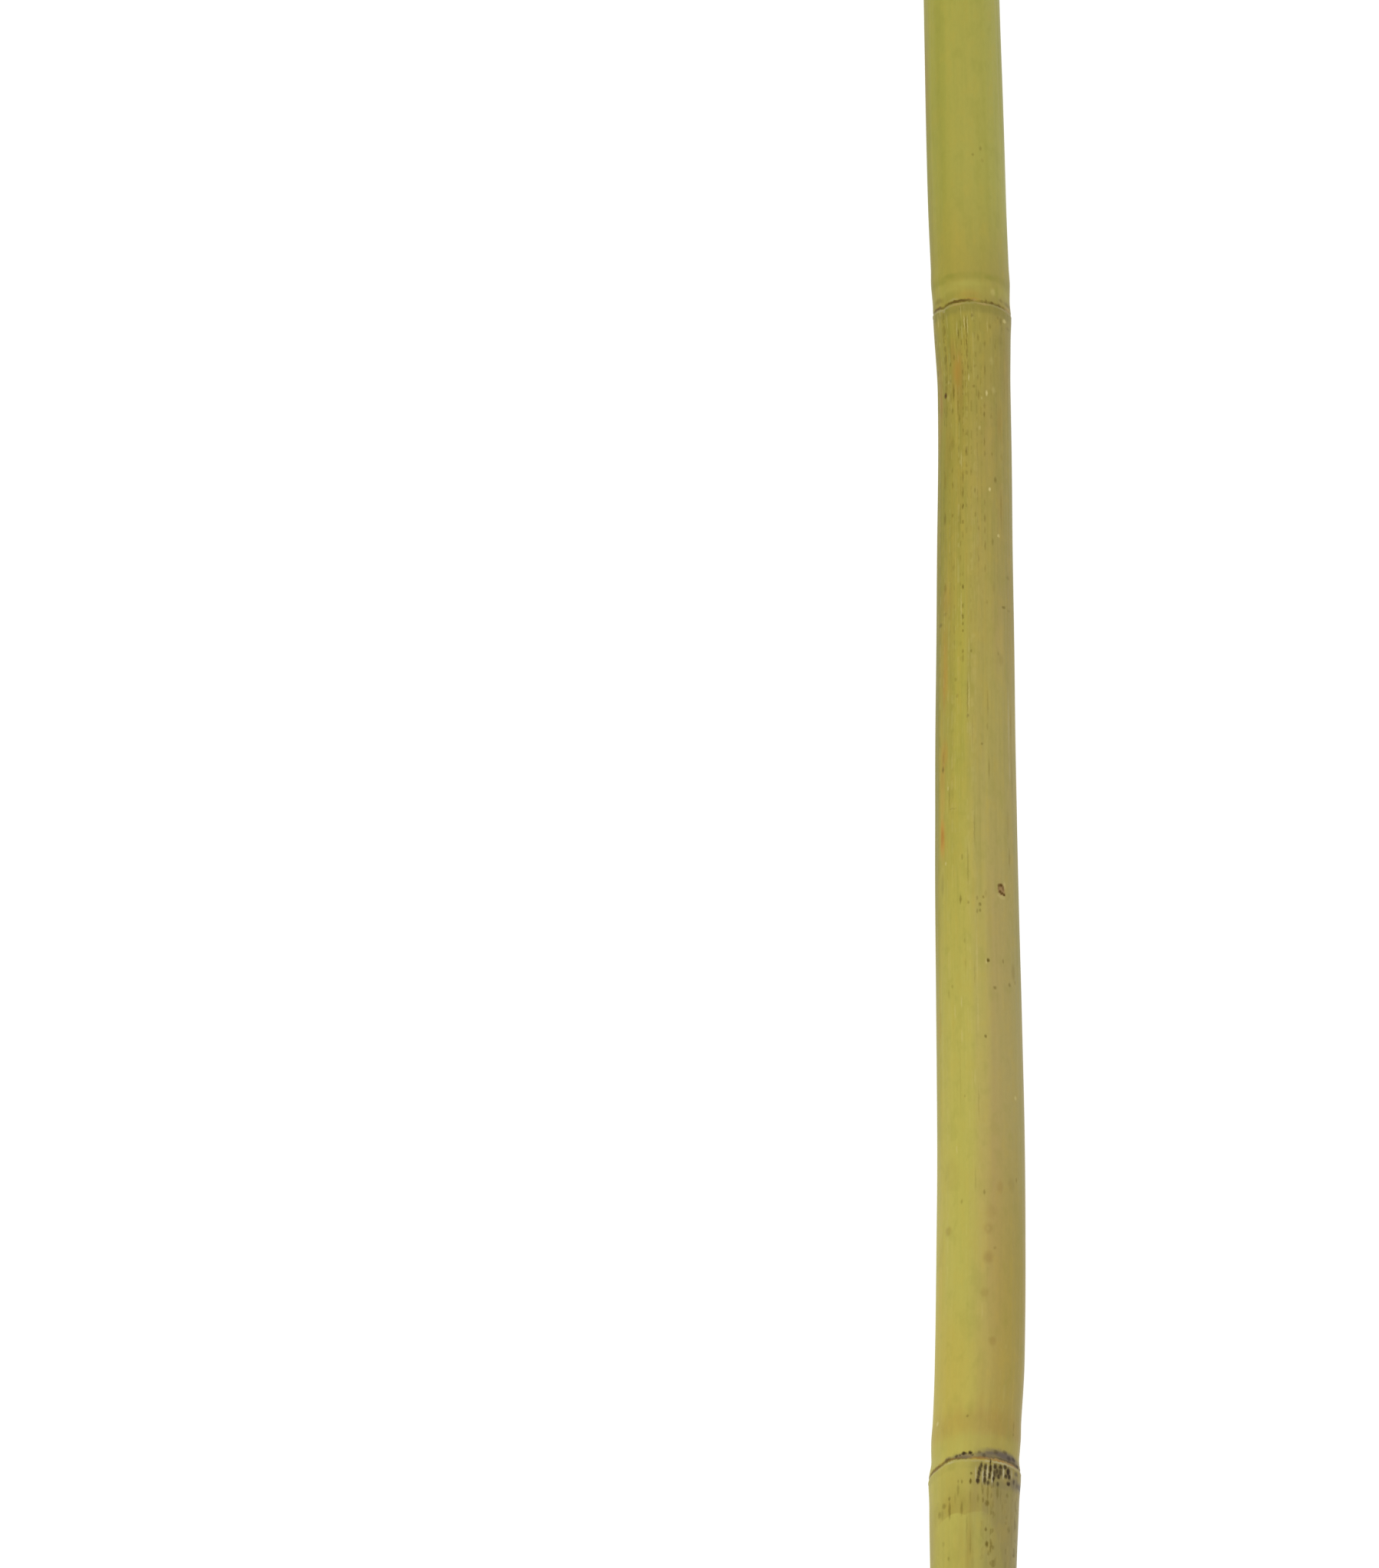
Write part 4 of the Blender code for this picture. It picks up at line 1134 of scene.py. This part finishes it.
class Skin:
    """Lays one colour after another on the skin's material, from the ground up."""

    def __init__(self, material, colours, groups):
        self.wiring = wiring = Wiring(material.node_tree)
        self.groups = groups
        self.pigments = {name: (*getattr(colours, name), 1.0) for name in colours.__annotations__}
        skin_map = wiring.node("ShaderNodeUVMap", uv_map="skin").outputs[0]
        scaled = wiring.vectors("MULTIPLY", skin_map, (360.0, LENGTH_MM, 0.0))
        self.place = wiring.vectors("SUBTRACT", scaled, (180.0, 0.0, 0.0))
        self.angle, self.station, _ = wiring.parts(self.place)
        self.straight = wiring.carried("straight")
        self.above = wiring.parts(wiring.carried("above_scars"))[:2]
        radius = (MEAN_RADIUS / MM,) * 3
        self.right, _, self.up = wiring.parts(wiring.vectors("DIVIDE", self.straight, radius))
        self.fine = self.fibres(*FINE)
        self.medium = self.fibres(*MEDIUM)
        self.broad = self.fibres(*BROAD)
        self.colour = None

    def fibres(self, pitch, run, detail):
        inputs = {"Straight": self.straight, "Pitch": pitch, "Run": run, "Detail": detail}
        return self.wiring.group(self.groups["fibres"], inputs)

    def wander(self, place, pitch, run, angle_off, station_off):
        """A place pushed about by fine noise, so that what is laid there has ragged edges."""
        wiring = self.wiring
        drawn = wiring.vectors("DIVIDE", self.straight, (pitch, run, pitch))
        noise = wiring.grain(drawn, 1.0, 2.0, 0.5, colour=True)
        centred = wiring.vectors("SUBTRACT", noise, (0.5, 0.5, 0.5))
        push = wiring.vectors("MULTIPLY", centred, (angle_off, station_off, 0.0))
        return wiring.vectors("ADD", place, push)

    def spots(self, place, marks, soft, joined="MAXIMUM"):
        """One mask of many soft spots, of which the strongest counts, or all together."""
        total = None
        for across, along, half_angle, half_length, strength in marks:
            inputs = {
                "Place": place, "Centre": (across, along, 0.0),
                "Half Size": (half_angle, half_length, 1.0), "Soft": soft,
                "Strength": strength,
            }
            mask = self.wiring.group(self.groups["spot"], inputs)
            total = mask if total is None else self.wiring.maths(joined, total, mask)
        return total

    def between(self, levels):
        """A strength that goes through (station, strength) levels along the cane."""
        start, low = levels[0]
        total = low
        for end, high in levels[1:]:
            if high != low:
                step = self.wiring.ease(self.station, float(start), float(end), 0.0, high - low)
                total = self.wiring.maths("ADD", total, step)
            start, low = end, high
        return total

    def lay(self, mask, pigment):
        self.colour = self.wiring.lay(mask, self.colour, self.pigments[pigment])

    def along(self, first, *changes):
        """One side's ground colour, which changes from stretch to stretch."""
        self.colour = self.pigments[first]
        for start, end, pigment in changes:
            self.lay(self.wiring.ease(self.station, float(start), float(end)), pigment)
        return self.colour

    def lay_ground(self):
        """Two sides of colour that change along the cane, with a streaky soft border."""
        wiring = self.wiring
        bright = self.along(*BRIGHT_SIDE)
        shaded = self.along(*SHADED_SIDE)
        border = wiring.times(self.up, self.between(BORDER_SLANT))
        width = self.between(BORDER_WIDTH)
        off = wiring.maths("SUBTRACT", self.right, border)
        ragged = wiring.maths("MULTIPLY_ADD", self.broad, BORDER_RAGGED, -BORDER_RAGGED / 2)
        off = wiring.maths("ADD", off, ragged)
        mask = wiring.ease(wiring.maths("DIVIDE", off, width), -1.0, 1.0)
        self.colour = wiring.lay(mask, bright, shaded)

    def lay_washes(self):
        """Broad washes of colour, then the lost sheath's print and the browned skin by it."""
        wiring = self.wiring
        place = self.wander(self.place, *WASH_EDGE)
        for pigment, washes in WASHES.items():
            mask = wiring.maths("MINIMUM", self.spots(place, washes, WASH_SOFT, "ADD"), 1.0)
            self.lay(mask, pigment)
        nearly = self.wander(self.place, *PRINT_EDGE)
        printed = self.spots(nearly, SHEATH_PRINT, PRINT_SOFT)
        browned = self.spots(nearly, BROWNED, BROWNED_SOFT, "ADD")
        browned = wiring.maths("MINIMUM", browned, 1.0)
        self.lay(wiring.without(browned, printed), "russet")
        self.lay(wiring.times(printed, PRINT_STRENGTH), "fresh")

    def lay_fibres(self):
        """Green and yellow streaks, a mottle, dashes and scratches, then light and dark fibres."""
        wiring = self.wiring
        mixed = self.between(STREAK_LEVELS)
        mixed = wiring.times(mixed, wiring.ease(self.right, *STREAKS_TO_LEFT))
        for streaks, high in ((self.fibres(*NARROW_STREAKS), 1.0), (self.fibres(*WIDE_STREAKS), 0.6)):
            self.lay(wiring.times(wiring.ease(streaks, 0.50, 0.95, 0.0, high), mixed), "olive")
            self.lay(wiring.times(wiring.ease(streaks, 0.45, 0.05, 0.0, high), mixed), "gold")
        mottle = self.fibres(*MOTTLE)
        self.lay(wiring.ease(mottle, 0.5, 1.0, 0.0, 0.14), "olive")
        self.lay(wiring.ease(mottle, 0.5, 0.0, 0.0, 0.12), "gold")
        self.lay_dashes()
        amount = self.between(FIBRE_LEVELS)
        fibres = -FIBRE_MEAN
        for layer, share in zip((self.fine, self.medium, self.broad), FIBRE_SHARES):
            fibres = wiring.maths("MULTIPLY_ADD", layer, share, fibres)
        level = wiring.maths("MULTIPLY_ADD", fibres, amount, SKIN_LEVEL)
        level = wiring.maths("MULTIPLY_ADD", self.fibres(*SPECKLE), SPECKLE_LEVEL, level)
        self.colour = wiring.scaled(self.colour, level)

    def lay_dashes(self):
        """Straight lines broken into short dark dashes and pale scratches.

        Above the lower node most of them are on the left, and below it on the right.
        """
        wiring = self.wiring
        lower = wiring.ease(self.station, *DASHES_CHANGE)
        upper = wiring.maths("SUBTRACT", 1.0, lower)
        left = wiring.times(wiring.ease(self.right, *DASHES_TO_LEFT), upper)
        right = wiring.times(wiring.ease(self.right, *DASHES_TO_RIGHT), lower)
        side = wiring.maths("MAXIMUM", left, right)
        for pigment, pitch, run, levels in DASHES:
            lines = wiring.ease(self.fibres(pitch, LINE_RUN, 1.0), *LINE_COMES)
            breaks = wiring.ease(self.fibres(BREAK_PITCH, run, 1.0), *BREAK_COMES)
            self.lay(wiring.times(lines, breaks, self.between(levels), side), pigment)

    def lay_nodes(self):
        """Bands that run round both nodes, uneven in strength, then the marks of each scar."""
        wiring = self.wiring
        ragged = self.fibres(*RAGGED)
        for above, bands, marks in zip(self.above, SCAR_BANDS, SCAR_MARKS):
            scar_place = wiring.node("ShaderNodeCombineXYZ", {0: self.angle, 1: above}).outputs[0]
            place = self.wander(scar_place, *SCAR_EDGE)
            _, height, _ = wiring.parts(place)
            for pigment, (centre, half, strength) in bands.items():
                off = wiring.maths("ABSOLUTE", wiring.maths("SUBTRACT", height, centre))
                band = wiring.ease(off, *(half * fade for fade in BAND_FADES))
                uneven = wiring.ease(ragged, *BAND_RAGGED, BAND_WEAKEST * strength, strength)
                self.lay(wiring.times(band, uneven), pigment)
            for pigment, spots in marks.items():
                self.lay(self.spots(place, spots, SCAR_SOFT), pigment)

    def lay_marks(self):
        """Stains, the oval scar and the small marks, each at its own place."""
        wiring = self.wiring
        place = self.wander(self.place, *MARK_EDGE)
        for across, along, half_angle, half_length, strength, clear in STAINS:
            outer = ((across, along, half_angle, half_length, strength),)
            mask = self.spots(place, outer, MARK_SOFT)
            if clear:
                taken = strength * CLEAR_STRENGTH
                inner = ((across, along, half_angle * clear, half_length * clear, taken),)
                mask = wiring.without(mask, self.spots(place, inner, CLEAR_SOFT))
            self.lay(mask, "russet")
        self.lay(self.spots(place, EYE_HALO, MARK_SOFT), "spark")
        self.lay(self.spots(place, EYE_MIDDLE, EYE_SOFT), "eye_middle")
        self.lay(self.spots(place, EYE_RIM, MARK_SOFT), "eye_rim")
        dots = tuple(
            (DOTTED_LINE, along, DOTTED_HALF_ANGLE, half, strength) for along, half, strength in DOTS
        )
        placed = dict(MARKS, bark=MARKS["bark"] + dots)
        for pigment, marks in placed.items():
            self.lay(self.spots(place, marks, MARK_SOFT), pigment)
        self.lay_flecks(place)

    def lay_flecks(self, place):
        """Scattered flecks on the back and towards both ends, where no marks are placed."""
        wiring = self.wiring
        behind = wiring.ease(wiring.maths("ABSOLUTE", self.angle), *BACK_STARTS)
        unplaced = wiring.maths("MAXIMUM", behind, self.between(END_LEVELS))
        around = wiring.vectors("MULTIPLY", place, (MM_PER_DEGREE, 1.0, 0.0))
        for pigment, half_size, sparseness, share, offset, strength in FLECKS:
            inputs = {
                "Place": around, "Half Size": half_size, "Sparseness": sparseness,
                "Share": share, "Offset": offset,
            }
            flecks = wiring.group(self.groups["flecks"], inputs)
            self.lay(wiring.times(flecks, unplaced, strength), pigment)


def skin_material(colours, groups):
    """Dried bamboo skin, from its ground colours to its small marks."""
    material, wiring, shader = new_material("dried_bamboo_skin")
    skin = Skin(material, colours, groups)
    skin.lay_ground()
    skin.lay_washes()
    skin.lay_fibres()
    skin.lay_nodes()
    skin.lay_marks()
    roughness = wiring.maths("MULTIPLY_ADD", skin.broad, ROUGHNESS_SPREAD, SKIN_ROUGHNESS)
    inputs = {"Base Color": skin.colour, "Roughness": roughness, "Specular IOR Level": 0.1}
    wiring.feed_shader(shader, inputs, skin.fine, 0.35, 0.02 * MM)
    return material


# Bundles of fibre in the cut wood: spacing in mm, size as a share of it, the share of the
# wall at which they start, and strength
BUNDLES = ((0.55, 0.30, -0.2, 0.45), (0.30, 0.36, 0.45, 0.55))


def cut_material(colours):
    """Sawn wood: pale pith with darker bundles of fibre, denser and browner to the skin."""
    material, wiring, shader = new_material("sawn_bamboo")
    pith, rust, bark = ((*colour, 1.0) for colour in (colours.pith, colours.rust, colours.bark))

    share = wiring.parts(wiring.carried("above_scars"))[2]
    where = wiring.node("ShaderNodeTexCoord").outputs["Object"]
    flat = wiring.vectors("MULTIPLY", where, (1 / MM, 0.0, 1 / MM))
    mottle = wiring.grain(flat, 0.9, 3.0)
    colour = wiring.lay(wiring.ease(share, 0.2, 1.1, 0.0, 0.45), pith, rust)
    colour = wiring.lay(wiring.ease(mottle, 0.4, 0.8, 0.0, 0.25), colour, rust)

    for spacing, size, start, strength in BUNDLES:
        inputs = {"Vector": flat, "Scale": 1 / spacing, "Randomness": 0.7}
        bundles = wiring.node("ShaderNodeTexVoronoi", inputs).outputs["Distance"]
        dots = wiring.ease(bundles, size, size * 0.4)
        dense = wiring.ease(share, start, start + 0.4, 0.0, strength)
        colour = wiring.lay(wiring.times(dots, dense), colour, bark)

    rim = wiring.ease(share, 0.93, 1.0, 0.0, 0.55)
    colour = wiring.lay(rim, colour, bark)
    scored = wiring.vectors("MULTIPLY", flat, (5.0, 1.0, 2.5))
    saw = wiring.grain(scored, 0.6, 3.0)
    inputs = {"Base Color": colour, "Roughness": 0.8, "Specular IOR Level": 0.3}
    wiring.feed_shader(shader, inputs, saw, 0.5, 0.05 * MM)
    return material


def lining_material(colours, groups):
    """Skin of pith in the hollow: pale, wrinkled lengthwise, with rusty stains."""
    material, wiring, shader = new_material("hollow_lining")
    lining, rust = ((*colour, 1.0) for colour in (colours.lining, colours.rust))
    straight = wiring.carried("straight")
    inputs = {"Straight": straight, "Pitch": 1.6, "Run": 9.0, "Detail": 3.0}
    wrinkles = wiring.group(groups["fibres"], inputs)
    stains = wiring.grain(straight, 0.12, 3.0)
    colour = wiring.lay(wiring.ease(stains, 0.42, 0.7, 0.05, 0.55), lining, rust)
    colour = wiring.lay(wiring.ease(wrinkles, 0.1, 0.9, 0.0, 0.18), colour, rust)
    wiring.feed_shader(shader, {"Base Color": colour, "Roughness": 0.7}, wrinkles, 0.6, 0.08 * MM)
    return material


class CANE_OT_culm(bpy.types.Operator):
    """Build the culm with its nodes, sawn ends and hollows, and give it its skin"""

    bl_idname = "cane.culm"
    bl_label = "Culm"
    bl_options = {"REGISTER", "UNDO"}

    def execute(self, context):
        scene = context.scene
        mesh = culm_mesh(scene.cane_sizes)
        if mesh.validate():
            raise RuntimeError("the culm's mesh has faulty faces")
        colours = scene.cane_colours
        groups = {"spot": spot_group(), "fibres": fibre_group(), "flecks": fleck_group()}
        mesh.materials.append(skin_material(colours, groups))
        mesh.materials.append(cut_material(colours))
        mesh.materials.append(lining_material(colours, groups))
        mesh.shade_smooth()
        mesh.set_sharp_from_angle(angle=SHARP_FROM)
        culm = bpy.data.objects.new("cane_culm", mesh)
        scene.collection.objects.link(culm)
        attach(culm, "root")
        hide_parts("cane")
        return {"FINISHED"}


# The camera looks down on the cane from this far, tilted back from straight down
CAMERA_AIM = (-39.37 * MM, 0.0, 6.1 * MM)
CAMERA_DISTANCE = 752 * MM
CAMERA_TILT = math.radians(16)
FLOOR_HALF_SIZE = 4.0
WHITE = (1.0, 1.0, 1.0, 1.0)

# The lamp hangs to the left of the cane's middle, and is turned to the floor in front of it
LAMP_SIZE = 2.4
LAMP_PLACE = (-0.35, -0.25, 1.9)
LAMP_TURN = (math.radians(-7.5), math.radians(-10.44), 0.0)

# The camera sees the sky this bright, as bright as the floor, so that no horizon shows
SEEN_SKY = 1.0


class CANE_OT_stage(bpy.types.Operator):
    """Set up the pale floor, the even sky, the soft lamp and the camera"""

    bl_idname = "cane.stage"
    bl_label = "Stage"
    bl_options = {"REGISTER", "UNDO"}

    def execute(self, context):
        scene = context.scene
        studio = scene.cane_studio
        self.add_floor(scene, studio)
        self.add_light(scene, studio)
        self.add_camera(scene, studio)
        scene.view_settings.view_transform = "Standard"
        return {"FINISHED"}

    def add_floor(self, scene, studio):
        half = FLOOR_HALF_SIZE
        corners = ((-half, -half, 0), (half, -half, 0), (half, half, 0), (-half, half, 0))
        mesh = bpy.data.meshes.new("floor")
        mesh.from_pydata(corners, [], [(0, 1, 2, 3)])
        material, wiring, shader = new_material("pale_floor")
        wiring.feed_shader(shader, {
            "Base Color": (*studio.floor, 1.0), "Roughness": 0.9, "Specular IOR Level": 0.0,
            "Emission Color": WHITE, "Emission Strength": studio.floor_glow,
        })
        mesh.materials.append(material)
        floor = bpy.data.objects.new("floor", mesh)
        scene.collection.objects.link(floor)

    def add_light(self, scene, studio):
        world = bpy.data.worlds.new("even_sky")
        world.use_nodes = True
        background = world.node_tree.nodes["Background"]
        background.inputs["Color"].default_value = WHITE
        wiring = Wiring(world.node_tree)
        seen = wiring.node("ShaderNodeLightPath").outputs["Is Camera Ray"]
        strength = wiring.maths("MULTIPLY_ADD", seen, SEEN_SKY - studio.sky, studio.sky)
        wiring.feed(background.inputs["Strength"], strength)
        scene.world = world
        lamp = bpy.data.lights.new("soft_lamp", "AREA")
        lamp.size = LAMP_SIZE
        lamp.energy = studio.lamp
        holder = bpy.data.objects.new("soft_lamp", lamp)
        holder.location = LAMP_PLACE
        holder.rotation_euler = LAMP_TURN
        scene.collection.objects.link(holder)

    def add_camera(self, scene, studio):
        lens = bpy.data.cameras.new("camera")
        lens.lens = studio.lens / MM
        holder = bpy.data.objects.new("camera", lens)
        back = CAMERA_DISTANCE * math.sin(CAMERA_TILT)
        up = CAMERA_DISTANCE * math.cos(CAMERA_TILT)
        holder.location = (CAMERA_AIM[0], CAMERA_AIM[1] - back, CAMERA_AIM[2] + up)
        holder.rotation_euler = (CAMERA_TILT, 0.0, 0.0)
        scene.collection.objects.link(holder)
        scene.camera = holder


class CANE_PT_panel(bpy.types.Panel):
    """Lists the cane's pieces, sizes, colours and studio"""

    bl_idname = "CANE_PT_panel"
    bl_label = "Bamboo Cane"
    bl_space_type = "VIEW_3D"
    bl_region_type = "UI"
    bl_category = "Bamboo Cane"

    def draw(self, context):
        layout = self.layout
        for operator in (CANE_OT_culm, CANE_OT_stage):
            layout.operator(operator.bl_idname, text=operator.bl_label)
        for group in (context.scene.cane_sizes, context.scene.cane_colours, context.scene.cane_studio):
            box = layout.box()
            for name in group.__annotations__:
                box.prop(group, name)


CLASSES = (CaneSizes, CaneColours, CaneStudio, CANE_OT_culm, CANE_OT_stage, CANE_PT_panel)


def register():
    for one in CLASSES:
        bpy.utils.register_class(one)
    bpy.types.Scene.cane_sizes = PointerProperty(type=CaneSizes)
    bpy.types.Scene.cane_colours = PointerProperty(type=CaneColours)
    bpy.types.Scene.cane_studio = PointerProperty(type=CaneStudio)


def unregister():
    del bpy.types.Scene.cane_studio
    del bpy.types.Scene.cane_colours
    del bpy.types.Scene.cane_sizes
    for one in reversed(CLASSES):
        bpy.utils.unregister_class(one)


def main():
    register()
    bpy.ops.cane.culm()
    bpy.ops.cane.stage()


if __name__ == "__main__":
    main()
